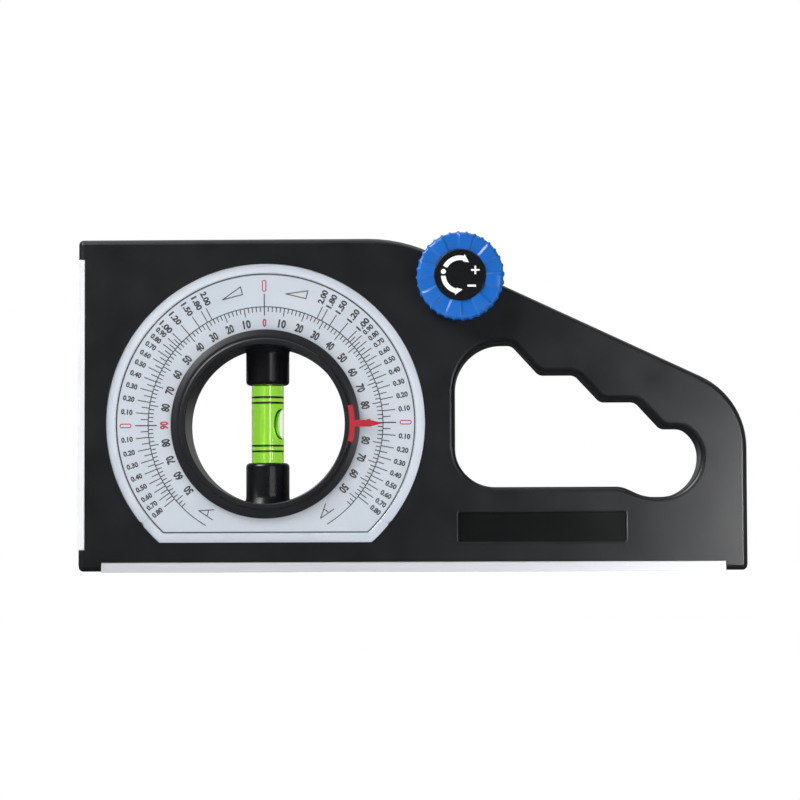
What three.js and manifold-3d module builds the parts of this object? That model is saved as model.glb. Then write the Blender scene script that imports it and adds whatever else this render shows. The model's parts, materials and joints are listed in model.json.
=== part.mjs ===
// A magnetic inclinometer: a flat case with a grip opening, a round dial, and a vial in a ring
// that a side knob turns through a hidden gear train. Millimetres.
//
// Everything is modelled face up on the bench: X runs to the right, Y up the dial and Z towards
// the viewer. The last group stands the instrument up on its base strip, with +Z up, its face
// towards -Y and its origin under the middle of the base strip.
import * as THREE from "three";
import { mergeVertices } from "three/addons/utils/BufferGeometryUtils.js";
import Module from "manifold-3d";

// Case
const bodyLength = 200;
const bodyDepth = 21;
const edgeRadius = 1.6; // rounding of the front and rear edges
const cornerRadius = 1.5; // square corners of the outline
const crestStart = 97.1; // where the slanted top edge would leave the level one
const crestRadius = 45;
const noseHeight = 51.9; // where the slanted edge would meet the right end
const noseRadius = 23.5;
const sideWall = 2.2;
const frontWall = 2.8;
const rearWall = 2.5;
const ribThickness = 1.4;
const ribLow = 2.6; // ribs stay this far below the joint of the two shells

// Grip opening
const bridgeWidth = 8.85; // from the dial to the opening
const noseWidth = 13.65; // from the opening to the right end
const gripTop = 68.7;
const gripBottom = 22.2;
const gripTopRadius = 14;
const gripFloorRadius = 12;
const gripEndRadius = 12.2;
const gripShoulderRadius = 12.2;
const fingerRadius = 3;
const gripEaseRadius = 8; // where the floor dips towards the round end

// Metal strips and the magnets behind them
const baseStripThickness = 2.7;
const baseStripLeft = 7;
const baseStripRight = 6.3; // distance from the right end
const baseProud = 0.4; // the strip stands this far below the corner blocks
const sideStripThickness = 1.7;
const sideStripBottom = 6.9;
const sideStripTop = 5.8; // distance from the top edge
const sideProud = 0.2;
const stripInset = 0.2; // the strips stop this far short of the front and rear faces
const stripChamfer = 0.35;
const magnetLength = 20;
const magnetWidth = 11;
const magnetThickness = 3;
const pocketWall = 1.5;

// Dial, and how far it stays from the edges of the case
const dialMarginLeft = 8.65;
const dialMarginBelow = 9;
const dialMarginAbove = 7.55;
const dialRadius = 47.75;
const dialRise = 0.3; // the dial's circle lies a little above the ring's axis
const dialFlat = 35.4; // distance of the straight lower edge from the ring's axis
const dialRecess = 1.4;
const plateThickness = 0.5;
const windowThickness = 1.5;
const windowBevel = 2.5;
const windowBevelRise = 0.5;
const notchAngle = 0.68; // below the level line, in radians
const notchSize = 1.4;

// Turning ring
const ringBore = 23.85;
const ringTube = 26;
const ringStep = 25.7;
const ringFlange = 28.3;
const flangeThickness = 0.9;
const stepRise = 0.7; // the inner band stands this far in front of the outer one
const stepRound = 0.25;
const flangeRound = 0.3;
const ringRearInset = 0.3;
const bearingCollar = 1.95;
const keyWidth = 3.2;
const keyDepth = 0.8;
const keyCount = 3;
const keyPhaseShare = 0.25; // turn of the first key, in spaces between keys
const clipThickness = 1;
const clipGroove = 0.6;
const clipProud = 1.3;
const clipGap = 0.5; // opening of the spring clip, in radians

// Vial
const vialRadius = 4.85;
const vialBore = 3.7;
const vialLength = 32;
const vialRaise = 0.35; // the vial lies a little above the ring's centre
const vialShown = 23.5;
const plugLength = 3;
const cupRadius = 6.55;
const cupRound = 1.2;
const roundMiddleShare = 0.3; // where the middle point of a two-facet rounding lies
const cupFlare = 0.6;
const cupFlareLength = 2.4;
const spigotRadius = 4.2;
const bubbleLength = 9.3;
const bubbleDepth = 1.8;
const bubbleWidth = 2.2;
const bubbleOffset = 3.4;

// Pointer
const pointerThickness = 0.7;
const pointerHead = 1.15; // radial width of the curved head
const pointerHeadAngle = 0.213; // half of its spread, in radians
const pointerRoot = 2.1;
const pointerNeck = 2;
const pointerNeckRadius = 31.4;
const pointerTip = 35.3;

// Gear train: ring gear, idler and pinion on one straight line
const gearModule = 1;
const ringTeeth = 70;
const idlerTeeth = 30;
const pinionTeeth = 16;
const pressureAngle = Math.PI / 9;
const backlash = 0.24;
const dedendumShare = 1.2; // in modules
const trainAngle = 0.6405; // of the line of centres above level, in radians
const gearWidth = 5;
const gearSetback = 1.2; // behind the front wall
const gearWebRecess = 1.2;
const gearRim = 2.2;
const idlerPinRadius = 2;
const idlerHub = 4.5;
const idlerHubLength = 8;
const idlerHoles = 5;

// Knob and its shaft
const knobRadius = 13.2;
const knobRibs = 32;
const knobRibHeight = 0.35;
const knobRibFacets = 3;
const knobLands = 8; // raised lands on the face, with lower ones between them
const knobLandDrop = 0.28;
const knobTurn = (2.5 * Math.PI) / 180; // the knob's resting angle
const knobHeight = 8.4;
const knobShoulder = 1.3;
const knobFaceRadius = 11.7;
const knobFaceRise = 0.6;
const capRadius = 7.55;
const capThickness = 1.2;
const capProud = 0.3;
const capDome = 0.25;
const washerInner = 4;
const washerOuter = 9;
const washerThickness = 0.6;
const shaftRadius = 3;
const shaftHexRadius = 2.85;
const shaftJournal = 2.2;
const shaftJournalLength = 4;
const shaftFlat = 0.8;
const knobScrewRadius = 1.2;
const knobScrewHead = 2.9;
const knobScrewHeadHeight = 1.6;
const knobScrewLength = 6;
const bossWall = 1.5;

// Case screws
const screwRadius = 1.3;
const screwHead = 2.7;
const screwHeadHeight = 1.5;
const screwLength = 11;
const screwSlotWidth = 0.8;
const screwSlotDepth = 0.6;
const bossRadius = 3.2;
const bossClear = 6; // from an outer edge to the middle of a boss

// Bare name recess on the face
const recessLeft = 113.9;
const recessLength = 50;
const recessBottom = 9;
const recessHeight = 8.75;
const recessDepth = 0.4;
const recessRadius = 0.5;

// Fits
const runningClearance = 0.25; // between turning and fixed pieces
const seatClearance = 0.1; // between pieces that are pressed or glued together
const stripClearance = 0.15;
const lipClearance = 0.2;
const lipThickness = 1.2;
const lipHeight = 1.8;
const tipClearance = 0.5;
const overrun = 1; // cutters pass through by this much
const leastRadius = 0.3;

// Fineness
const arcRise = 0.12; // the most that a rounded corner may stand off its facets
const ringFacets = 44;
const smallFacets = 10;
const edgeFacets = 2;
const ringFlankSteps = 1; // a large wheel's flanks are nearly straight
const smallFlankSteps = 2;

const wasm = await Module();
wasm.setup();

// Levels along Z
const face = bodyDepth / 2;
const back = -face;
const frontInside = face - frontWall;
const rearInside = back + rearWall;
const dialFloor = face - dialRecess;
const plateTop = dialFloor + plateThickness;
const windowTop = plateTop + windowThickness;
const flangeBack = windowTop + runningClearance;
const bandFace = flangeBack + flangeThickness;
const ringFace = bandFace + stepRise;
const ringRear = back + ringRearInset;
const gearFront = frontInside - gearSetback;
const gearBack = gearFront - gearWidth;
const knobBottom = face + washerThickness + runningClearance;
const knobTop = knobBottom + knobHeight;

// Places
const ringPitch = (gearModule * ringTeeth) / 2;
const idlerPitch = (gearModule * idlerTeeth) / 2;
const pinionPitch = (gearModule * pinionTeeth) / 2;
const gearRoom = ringPitch + gearModule + tipClearance;
const magnetRoom = magnetThickness + pocketWall;
const dialX = Math.max(dialMarginLeft + dialRadius, sideStripThickness + magnetRoom + gearRoom);
const dialY = Math.max(dialMarginBelow + dialFlat, baseStripThickness + magnetRoom + gearRoom);
const dialCentre = new THREE.Vector2(dialX, dialY);
const faceCentre = new THREE.Vector2(dialX, dialY + dialRise);
const idlerCentre = alongTrain(ringPitch + idlerPitch);
const knobCentre = alongTrain(ringPitch + idlerPitch + idlerPitch + pinionPitch);
const knobBoss = pinionPitch + gearModule + tipClearance + bossWall;
const idlerTop = idlerCentre.y + idlerPitch + gearModule + tipClearance;
const bodyHeight = Math.max(faceCentre.y + dialRadius + dialMarginAbove, idlerTop + sideWall);
const gripLeft = dialX + dialRadius + bridgeWidth;
const gripRight = bodyLength - noseWidth;

function alongTrain(distance) {
  const arm = new THREE.Vector2(Math.cos(trainAngle), Math.sin(trainAngle));
  return dialCentre.clone().addScaledVector(arm, distance);
}

// Solids from geometries and back

function solid(geometry) {
  const bare = geometry.clone();
  bare.deleteAttribute("normal");
  bare.deleteAttribute("uv");
  const merged = mergeVertices(bare, 1e-4);
  return new wasm.Manifold(
    new wasm.Mesh({
      numProp: 3,
      vertProperties: merged.attributes.position.array,
      triVerts: new Uint32Array(merged.index.array),
    }),
  );
}

function geometryOf(body) {
  const mesh = body.getMesh();
  const geometry = new THREE.BufferGeometry();
  geometry.setAttribute("position", new THREE.BufferAttribute(mesh.vertProperties, 3));
  geometry.setIndex(new THREE.BufferAttribute(mesh.triVerts, 1));
  const faceted = geometry.toNonIndexed();
  faceted.computeVertexNormals();
  return faceted;
}

function joined(...bodies) {
  return bodies.reduce((whole, body) => whole.add(body));
}

function without(body, ...cutters) {
  return cutters.reduce((rest, cutter) => rest.subtract(cutter), body);
}

// Outlines: each corner is [x, y, radius], listed anticlockwise

function cornerAt(corners, index) {
  const [x, y, radius] = corners[(index + corners.length) % corners.length];
  return { point: new THREE.Vector2(x, y), radius };
}

function heading(from, to) {
  return to.clone().sub(from).normalize();
}

function leftOf(direction) {
  return new THREE.Vector2(-direction.y, direction.x);
}

function turnAt(corners, index) {
  const { point } = cornerAt(corners, index);
  const incoming = heading(cornerAt(corners, index - 1).point, point);
  const outgoing = heading(point, cornerAt(corners, index + 1).point);
  return Math.atan2(incoming.cross(outgoing), incoming.dot(outgoing));
}

// How far the rounding of a corner reaches along its two sides.
function reachAt(corners, index) {
  return cornerAt(corners, index).radius * Math.tan(Math.abs(turnAt(corners, index)) / 2);
}

// The share of two neighbouring roundings that the side between them has room for.
function roomOn(corners, index) {
  const side = cornerAt(corners, index).point.distanceTo(cornerAt(corners, index + 1).point);
  const wanted = reachAt(corners, index) + reachAt(corners, index + 1);
  return wanted > side ? side / wanted : 1;
}

// Roundings shrink where their side is too short for them.
function fitted(corners) {
  return corners.map(([x, y, radius], index) =>
    [x, y, radius * Math.min(roomOn(corners, index - 1), roomOn(corners, index))]);
}

function roundedCorner(corners, index) {
  const { point, radius } = cornerAt(corners, index);
  const turn = turnAt(corners, index);
  if (radius === 0 || turn === 0) return [point];
  const incoming = heading(cornerAt(corners, index - 1).point, point);
  const side = Math.sign(turn);
  const start = point.clone().addScaledVector(incoming, -radius * Math.tan(Math.abs(turn) / 2));
  const centre = start.clone().addScaledVector(leftOf(incoming), side * radius);
  const facetAngle = 2 * Math.acos(Math.max(1 - arcRise / radius, 0));
  const steps = Math.max(2, Math.ceil(Math.abs(turn) / facetAngle));
  const arm = start.clone().sub(centre);
  return Array.from({ length: steps + 1 }, (_, step) => {
    const turned = arm.clone().rotateAround(new THREE.Vector2(), (turn * step) / steps);
    return turned.add(centre);
  });
}

function outline(corners) {
  const sized = fitted(corners);
  return sized.flatMap((_, index) => roundedCorner(sized, index));
}

// The same outline moved inwards by a distance, or outwards by a negative one.
function inset(corners, distance) {
  return corners.map((_, index) => {
    const { point, radius } = cornerAt(corners, index);
    const incoming = heading(cornerAt(corners, index - 1).point, point);
    const outgoing = heading(point, cornerAt(corners, index + 1).point);
    const before = leftOf(incoming);
    const after = leftOf(outgoing);
    const shift = before.clone().add(after).multiplyScalar(distance / (1 + before.dot(after)));
    const moved = point.clone().add(shift);
    const grown = radius - Math.sign(incoming.cross(outgoing)) * distance;
    return [moved.x, moved.y, radius === 0 ? 0 : Math.max(grown, leastRadius)];
  });
}

function rectangle(left, bottom, width, height, radius = 0) {
  const right = left + width;
  const top = bottom + height;
  return [
    [left, bottom, radius],
    [right, bottom, radius],
    [right, top, radius],
    [left, top, radius],
  ];
}

function circle(radius, centre = new THREE.Vector2(), facets = ringFacets) {
  return Array.from({ length: facets }, (_, step) => {
    const angle = (2 * Math.PI * step) / facets;
    return new THREE.Vector2(Math.cos(angle), Math.sin(angle)).multiplyScalar(radius).add(centre);
  });
}

// Basic bodies

function slab(points, bottom, top) {
  const shape = new THREE.Shape(points);
  const geometry = new THREE.ExtrudeGeometry(shape, { depth: top - bottom, bevelEnabled: false });
  return solid(geometry.translate(0, 0, bottom));
}

function roundedSlab(points, bottom, top, radius, holes = []) {
  const shape = new THREE.Shape(points);
  shape.holes = holes.map((hole) => new THREE.Path(hole));
  const geometry = new THREE.ExtrudeGeometry(shape, {
    depth: top - bottom - 2 * radius,
    bevelThickness: radius,
    bevelSize: radius,
    bevelOffset: -radius,
    bevelSegments: edgeFacets,
  });
  return solid(geometry.translate(0, 0, bottom + radius));
}

function disc(radius, bottom, top, centre = new THREE.Vector2(), facets = smallFacets) {
  return slab(circle(radius, centre, facets), bottom, top);
}

function block(left, bottom, width, height, low, high) {
  return slab(outline(rectangle(left, bottom, width, height)), low, high);
}

// A body turned about the Y axis from a closed profile of [radius, y] points.
function turnedGeometry(profile, facets) {
  const area = profile.reduce((sum, [r, y], index) => {
    const [nextR, nextY] = profile[(index + 1) % profile.length];
    return sum + (r * nextY - nextR * y) / 2;
  }, 0);
  const ordered = area > 0 ? profile : [...profile].reverse();
  const points = ordered.map(([r, y]) => new THREE.Vector2(r, y));
  return new THREE.LatheGeometry([...points, points[0].clone()], facets);
}

function turnedUpright(profile, facets = smallFacets) {
  return solid(turnedGeometry(profile, facets));
}

// The same about the Z axis, for pieces that face the viewer.
function turned(profile, facets = ringFacets) {
  return solid(turnedGeometry(profile, facets).rotateX(Math.PI / 2));
}

// Case outlines

const bodyCorners = [
  [sideProud, baseProud, cornerRadius],
  [bodyLength, baseProud, cornerRadius],
  [bodyLength, noseHeight, noseRadius],
  [crestStart, bodyHeight, crestRadius],
  [sideProud, bodyHeight, cornerRadius],
];

// Places along the opening's length and up its height.
const gripShares = {
  topEnd: 0.2345,
  firstStep: [0.348, 0.495],
  firstLevel: 0.804,
  secondStep: [0.6, 0.744],
  secondLevel: 0.626,
  lastStep: 0.848,
  lastLevel: 0.448,
  shoulder: 0.953,
  noseLevel: 0.371,
  dipEnd: 0.77,
  dipStart: 0.679,
  floorLevel: 0.067,
};

function gripPoint(alongShare, upShare, radius) {
  const x = THREE.MathUtils.lerp(gripLeft, gripRight, alongShare);
  const y = THREE.MathUtils.lerp(gripBottom, gripTop, upShare);
  return [x, y, radius];
}

const gripCorners = [
  gripPoint(0, gripShares.floorLevel, gripFloorRadius),
  gripPoint(gripShares.dipStart, gripShares.floorLevel, gripEaseRadius),
  gripPoint(gripShares.dipEnd, 0, gripEndRadius),
  gripPoint(1, 0, gripEndRadius),
  gripPoint(1, gripShares.noseLevel, gripShoulderRadius),
  gripPoint(gripShares.shoulder, gripShares.lastLevel, leastRadius),
  gripPoint(gripShares.lastStep, gripShares.lastLevel, fingerRadius),
  gripPoint(gripShares.secondStep[1], gripShares.secondLevel, fingerRadius),
  gripPoint(gripShares.secondStep[0], gripShares.secondLevel, fingerRadius),
  gripPoint(gripShares.firstStep[1], gripShares.firstLevel, fingerRadius),
  gripPoint(gripShares.firstStep[0], gripShares.firstLevel, fingerRadius),
  gripPoint(gripShares.topEnd, 1, fingerRadius),
  gripPoint(0, 1, gripTopRadius),
];

// Screw places: two in each corner region and one in each narrow bridge of the case.
const bridgeX = (dialX + dialRadius + gripLeft) / 2;
const gripMiddle = (gripLeft + gripRight) / 2;
const screwPlaces = [
  [bossClear + bossRadius, bodyHeight - bossClear - bossRadius],
  [bossClear + bossRadius + magnetThickness, baseStripThickness + 2 * bossClear],
  [dialX + dialRadius / 2, bodyHeight - bossClear],
  [bridgeX - bossRadius, dialY],
  [bridgeX, baseStripThickness + magnetThickness + pocketWall + bossClear],
  [bodyLength - bossClear - bossRadius, baseStripThickness + magnetThickness + pocketWall + bossClear],
  noseBoss(),
  slantBoss(),
].map(([x, y]) => new THREE.Vector2(x, y));

function noseBoss() {
  const angle = Math.PI / 6;
  const reach = (noseRadius - sideWall + gripEndRadius + sideWall) / 2;
  const x = bodyLength - noseRadius + reach * Math.cos(angle);
  return [x, gripBottom + gripEndRadius + reach * Math.sin(angle)];
}

function slantBoss() {
  const slope = (bodyHeight - noseHeight) / (bodyLength - crestStart);
  const edge = bodyHeight - (gripMiddle - crestStart) * slope;
  const lower = THREE.MathUtils.lerp(gripBottom, gripTop, gripShares.firstLevel);
  return [gripMiddle, (edge + lower) / 2];
}

// The whole case as one rounded block with the grip opening through it.
function caseBlock() {
  const main = roundedSlab(outline(bodyCorners), back, face, edgeRadius, [outline(gripCorners)]);
  const boss = roundedSlab(circle(knobBoss, knobCentre, 2 * smallFacets), back, face, edgeRadius);
  return joined(main, boss);
}

function stripChannels() {
  const base = block(
    baseStripLeft, -overrun, bodyLength - baseStripLeft - baseStripRight,
    baseStripThickness + overrun, back - overrun, face + overrun,
  );
  const side = block(
    -overrun, sideStripBottom, sideStripThickness + overrun,
    bodyHeight - sideStripTop - sideStripBottom, back - overrun, face + overrun,
  );
  return joined(base, side);
}

// The inside walls follow the outline behind the strips.
const insideCorners = inset(
  [
    [sideStripThickness, baseStripThickness, cornerRadius],
    [bodyLength, baseStripThickness, cornerRadius],
    [bodyLength, noseHeight, noseRadius],
    [crestStart, bodyHeight, crestRadius],
    [sideStripThickness, bodyHeight, cornerRadius],
  ],
  sideWall,
);
const gripWallCorners = inset(gripCorners, -sideWall);

function cavity(bottom, top) {
  const main = slab(outline(insideCorners), bottom, top);
  const grip = slab(outline(gripWallCorners), bottom - overrun, top + overrun);
  const boss = disc(knobBoss - bossWall, bottom, top, knobCentre, 2 * smallFacets);
  return joined(without(main, grip), boss);
}

// Magnets: the middle of each, at shares of the strips' lengths
const baseMagnetShares = [0.077, 0.452, 0.676, 0.896];
const sideMagnetShares = [0.2, 0.66];
const baseMagnetPlaces = baseMagnetShares.map((share) => {
  const x = THREE.MathUtils.lerp(baseStripLeft, bodyLength - baseStripRight, share);
  return new THREE.Vector2(x, baseStripThickness + magnetThickness / 2);
});
const sideMagnetPlaces = sideMagnetShares.map((share) => {
  const y = THREE.MathUtils.lerp(sideStripBottom, bodyHeight - sideStripTop, share);
  return new THREE.Vector2(sideStripThickness + magnetThickness / 2, y);
});

function centredBlock(centre, width, height, low, high) {
  return block(centre.x - width / 2, centre.y - height / 2, width, height, low, high);
}

function magnetBody(place, upright, growth = 0) {
  const along = magnetLength + 2 * growth;
  const across = magnetThickness + 2 * growth;
  const half = magnetWidth / 2 + growth;
  if (upright) return centredBlock(place, across, along, -half, half);
  return centredBlock(place, along, across, -half, half);
}

function eachMagnet(make) {
  return [
    ...baseMagnetPlaces.map((place) => make(place, false)),
    ...sideMagnetPlaces.map((place) => make(place, true)),
  ];
}

// Ribs stiffen the case under the grip opening, over it and beside it.
const ribShares = [0.24, 0.42, 0.66, 0.86];

function ribs() {
  const low = rearInside + ribLow;
  const room = cavity(low, frontInside + overrun);
  const upright = ribShares.map((share) => {
    const x = THREE.MathUtils.lerp(gripLeft, gripRight, share);
    return block(x, 0, ribThickness, bodyHeight, low, frontInside + overrun);
  });
  const level = block(gripRight, gripBottom + gripEndRadius, bodyLength - gripRight, ribThickness,
    low, frontInside + overrun);
  const pinionRoom = disc(knobBoss, low - overrun, frontInside, knobCentre);
  return without(joined(...upright, level).intersect(room), pinionRoom);
}

// A circle cut straight along its lower side.
function flattedCircle(radius, flat) {
  const limit = Math.asin((flat + dialRise) / radius);
  const spread = Math.PI + 2 * limit;
  return Array.from({ length: ringFacets + 1 }, (_, step) => {
    const angle = -limit + (spread * step) / ringFacets;
    return new THREE.Vector2(Math.cos(angle), Math.sin(angle)).multiplyScalar(radius).add(faceCentre);
  });
}

function bearingRing(inner, low, high) {
  const outer = disc(inner + bearingCollar, low, high, dialCentre, ringFacets);
  return without(outer, disc(inner, low - overrun, high + overrun, dialCentre, ringFacets));
}

function frontHousing() {
  const parting = block(-overrun, -overrun, bodyLength + 2 * overrun, bodyHeight + 2 * knobBoss,
    rearInside, face + overrun);
  const shell = without(caseBlock().intersect(parting), cavity(rearInside - overrun, frontInside));
  const bosses = screwPlaces.map((place) => disc(bossRadius, rearInside, face - edgeRadius, place));
  const pockets = eachMagnet((place, upright) => magnetBody(place, upright, pocketWall));
  const rooted = frontInside + overrun;
  const ringCollar = bearingRing(ringTube + runningClearance, gearFront + tipClearance, rooted);
  const idlerBoss = disc(idlerHub, gearFront + runningClearance, rooted, idlerCentre);
  const shaftBoss = disc(idlerHub, gearFront + runningClearance, rooted, knobCentre);
  const pinHole = disc(idlerPinRadius + seatClearance, gearBack, dialFloor - stripClearance, idlerCentre);
  const shaftHole = disc(shaftRadius + runningClearance, gearBack, face + overrun, knobCentre);
  const screwHoles = screwPlaces.map((place) =>
    disc(screwRadius + seatClearance, rearInside - overrun, rearInside + screwLength, place));
  const whole = joined(shell, ribs(), ...bosses, ...pockets, ringCollar, idlerBoss, shaftBoss);
  return without(whole, ...screwHoles, pinHole, shaftHole, stripChannels(), dialCut(), nameRecess(),
    ...eachMagnet((place, upright) => magnetBody(place, upright, seatClearance)));
}

function dialCut() {
  const recess = slab(flattedCircle(dialRadius + stripClearance, dialFlat + stripClearance),
    dialFloor, face + overrun);
  const bore = disc(ringTube + runningClearance, back, face, dialCentre, ringFacets);
  return joined(recess, bore);
}

function nameRecess() {
  const corners = rectangle(recessLeft, recessBottom, recessLength, recessHeight, recessRadius);
  return slab(outline(corners), face - recessDepth, face + overrun);
}

// A lip on the rear cover that centres it in the front shell.
function lip() {
  const top = rearInside + lipHeight;
  const outer = inset(insideCorners, lipClearance);
  const inner = inset(outer, lipThickness);
  const rim = without(slab(outline(outer), rearInside - overrun, top),
    slab(outline(inner), rearInside - 2 * overrun, top + overrun));
  const keepOff = bossRadius + lipClearance;
  const bossGaps = screwPlaces.map((place) => disc(keepOff, rearInside - 2 * overrun, top + overrun, place));
  const pinionGap = disc(knobBoss, rearInside - 2 * overrun, top + overrun, knobCentre);
  const magnetGaps = eachMagnet((place, upright) => magnetBody(place, upright, pocketWall + lipClearance));
  return without(rim, ...bossGaps, ...magnetGaps, pinionGap);
}

function screwCut(place) {
  const hole = disc(screwRadius + seatClearance, back - overrun, rearInside + overrun, place);
  const seat = disc(screwHead + seatClearance, back - overrun, back + screwHeadHeight, place);
  return joined(hole, seat);
}

function rearCover() {
  const parting = block(-overrun, -overrun, bodyLength + 2 * overrun, bodyHeight + 2 * knobBoss,
    back - overrun, rearInside);
  const plate = caseBlock().intersect(parting);
  const ringCollar = bearingRing(ringTube + runningClearance, rearInside - overrun, rearInside + lipHeight);
  const pinTop = gearFront - idlerHubLength - runningClearance;
  const pinBoss = disc(idlerHub, rearInside - overrun, pinTop, idlerCentre);
  const shaftTop = gearBack - runningClearance;
  const shaftBoss = disc(idlerHub, rearInside - overrun, shaftTop, knobCentre);
  const pinHole = disc(idlerPinRadius + seatClearance, rearInside, pinTop + overrun, idlerCentre);
  const shaftHole = disc(shaftJournal + runningClearance, shaftTop - shaftJournalLength - runningClearance,
    shaftTop + overrun, knobCentre);
  const whole = joined(plate, lip(), ringCollar, pinBoss, shaftBoss);
  const bore = disc(ringTube + runningClearance, back - overrun, face, dialCentre, ringFacets);
  return without(whole, bore, pinHole, shaftHole, stripChannels(), ...screwPlaces.map(screwCut));
}

// Strips: a long bar with its edges broken, laid along X or along Y
function stripBody(length, thickness) {
  const width = bodyDepth - 2 * stripInset;
  const corners = rectangle(-thickness / 2, -width / 2, thickness, width);
  const broken = corners.flatMap(([x, y]) => {
    const inX = x - Math.sign(x) * stripChamfer;
    const inY = y - Math.sign(y) * stripChamfer;
    const pair = [[inX, y, 0], [x, inY, 0]];
    return Math.sign(x) === Math.sign(y) ? pair.reverse() : pair;
  });
  return slab(outline(broken), -length / 2, length / 2);
}

function baseStrip() {
  const length = bodyLength - baseStripLeft - baseStripRight - 2 * stripClearance;
  const bar = stripBody(length, baseStripThickness);
  const laid = bar.rotate([0, 90, 0]).rotate([90, 0, 0]);
  const middle = (baseStripLeft + bodyLength - baseStripRight) / 2;
  return laid.translate([middle, baseStripThickness / 2, 0]);
}

function sideStrip() {
  const length = bodyHeight - sideStripTop - sideStripBottom - 2 * stripClearance;
  const bar = stripBody(length, sideStripThickness);
  const middle = (sideStripBottom + bodyHeight - sideStripTop) / 2;
  return bar.rotate([90, 0, 0]).translate([sideStripThickness / 2, middle, 0]);
}

// Dial

function dialBore(low, high) {
  const radius = (ringTube + ringFlange) / 2;
  return disc(radius, low - overrun, high + overrun, dialCentre, ringFacets);
}

function dialPlate() {
  const points = flattedCircle(dialRadius - stripClearance, dialFlat - stripClearance);
  return without(slab(points, dialFloor, plateTop), dialBore(dialFloor, plateTop));
}

function dialWindow() {
  const shape = new THREE.Shape(flattedCircle(dialRadius, dialFlat));
  const straight = windowThickness - windowBevelRise;
  const geometry = new THREE.ExtrudeGeometry(shape, {
    depth: straight,
    bevelThickness: windowBevelRise,
    bevelSize: windowBevel,
    bevelOffset: -windowBevel,
    bevelSegments: 1,
  });
  const reach = dialRadius + overrun;
  const lower = block(dialX - reach, dialY - reach, 2 * reach, 2 * reach, plateTop, windowTop + overrun);
  const bevelled = solid(geometry.translate(0, 0, plateTop)).intersect(lower);
  return without(bevelled, dialBore(plateTop, windowTop), ...windowNotches());
}

function windowNotches() {
  return [-notchAngle, Math.PI + notchAngle].map((angle) => {
    const arm = new THREE.Vector2(Math.cos(angle), Math.sin(angle)).multiplyScalar(dialRadius);
    return disc(notchSize / 2, plateTop - overrun, windowTop + overrun, arm.add(faceCentre));
  });
}

// Turning ring, about its own centre

function ringProfile() {
  return [
    [ringBore, ringRear],
    [ringTube, ringRear],
    [ringTube, flangeBack],
    [ringFlange, flangeBack],
    [ringFlange, bandFace - flangeRound],
    [ringFlange - flangeRound, bandFace],
    [ringStep, bandFace],
    [ringStep, ringFace - stepRound],
    [ringStep - stepRound, ringFace],
    [ringBore + stepRound, ringFace],
    [ringBore, ringFace - stepRound],
  ];
}

function keyAngles() {
  return Array.from({ length: keyCount }, (_, step) => (2 * Math.PI * (step + keyPhaseShare)) / keyCount);
}

function keyBlock(angle, width, inner, outer, low, high) {
  const key = block(inner, -width / 2, outer - inner, width, low, high);
  return key.rotate([0, 0, THREE.MathUtils.radToDeg(angle)]);
}

function rotorRing() {
  const body = turned(ringProfile());
  const slots = keyAngles().map((angle) =>
    keyBlock(angle, keyWidth, ringTube - keyDepth, ringTube + overrun, ringRear - overrun, gearFront));
  const clipTop = gearBack;
  const groove = without(
    disc(ringTube + overrun, clipTop - clipThickness - seatClearance, clipTop, undefined, ringFacets),
    disc(ringTube - clipGroove, clipTop - 2 * clipThickness, clipTop + overrun, undefined, ringFacets),
  );
  const sockets = [0, Math.PI].map((turn) => {
    const profile = [[0, 0], [spigotRadius + seatClearance, 0], [spigotRadius + seatClearance, ringFlange],
      [0, ringFlange]];
    return turnedUpright(profile).rotate([0, 0, THREE.MathUtils.radToDeg(turn)]);
  });
  return without(body, ...slots, groove, ...sockets);
}

function ringClip() {
  const low = gearBack - clipThickness;
  const inner = ringTube - clipGroove + seatClearance;
  const ring = turned([[inner, low], [ringTube + clipProud, low],
    [ringTube + clipProud, gearBack - seatClearance],
    [inner, gearBack - seatClearance]]);
  const spread = (ringTube + clipProud) * clipGap;
  return without(ring, keyBlock(-Math.PI / 2, spread, 0, ringTube + 2 * clipProud, low - overrun, gearBack));
}

// Involute gear teeth: the first tooth, or the first gap, is centred on the given angle.
function gearOutline(teeth, phase, flankSteps) {
  const pitch = (gearModule * teeth) / 2;
  const base = pitch * Math.cos(pressureAngle);
  const root = pitch - dedendumShare * gearModule;
  const tip = pitch + gearModule;
  const start = Math.max(base, root);
  const involute = (angle) => Math.tan(angle) - angle;
  const pitchHalf = Math.PI / (2 * teeth) - backlash / (4 * pitch);
  const halfAt = (radius) => pitchHalf + involute(pressureAngle) - involute(Math.acos(base / radius));
  const rising = Array.from({ length: flankSteps + 1 }, (_, step) => {
    const radius = THREE.MathUtils.lerp(start, tip, step / flankSteps);
    return [radius, -halfAt(radius)];
  });
  if (root < base) rising.unshift([root, -halfAt(base)]);
  const falling = rising.map(([radius, angle]) => [radius, -angle]).reverse();
  return Array.from({ length: teeth }, (_, tooth) =>
    [...rising, ...falling].map(([radius, angle]) => {
      const turn = phase + angle + (2 * Math.PI * tooth) / teeth;
      return new THREE.Vector2(Math.cos(turn), Math.sin(turn)).multiplyScalar(radius);
    }),
  ).flat();
}

function ringGear() {
  const halfTooth = Math.PI / ringTeeth;
  const teeth = gearOutline(ringTeeth, trainAngle + halfTooth, ringFlankSteps);
  const wheel = slab(teeth, gearBack, gearFront);
  const bore = disc(ringTube + seatClearance, gearBack - overrun, gearFront + overrun, undefined, ringFacets);
  const recessOuter = ringPitch - dedendumShare * gearModule - gearRim;
  const recessInner = ringTube + gearRim;
  const recess = turned([[recessInner, gearBack - overrun], [recessOuter, gearBack - overrun],
    [recessOuter, gearBack + gearWebRecess], [recessInner, gearBack + gearWebRecess]]);
  const keys = keyAngles().map((angle) =>
    keyBlock(angle, keyWidth - 2 * seatClearance, ringTube - keyDepth + seatClearance,
      ringTube + gearRim / 2, gearBack, gearFront - seatClearance));
  return joined(without(wheel, bore, recess), ...keys);
}

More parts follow.
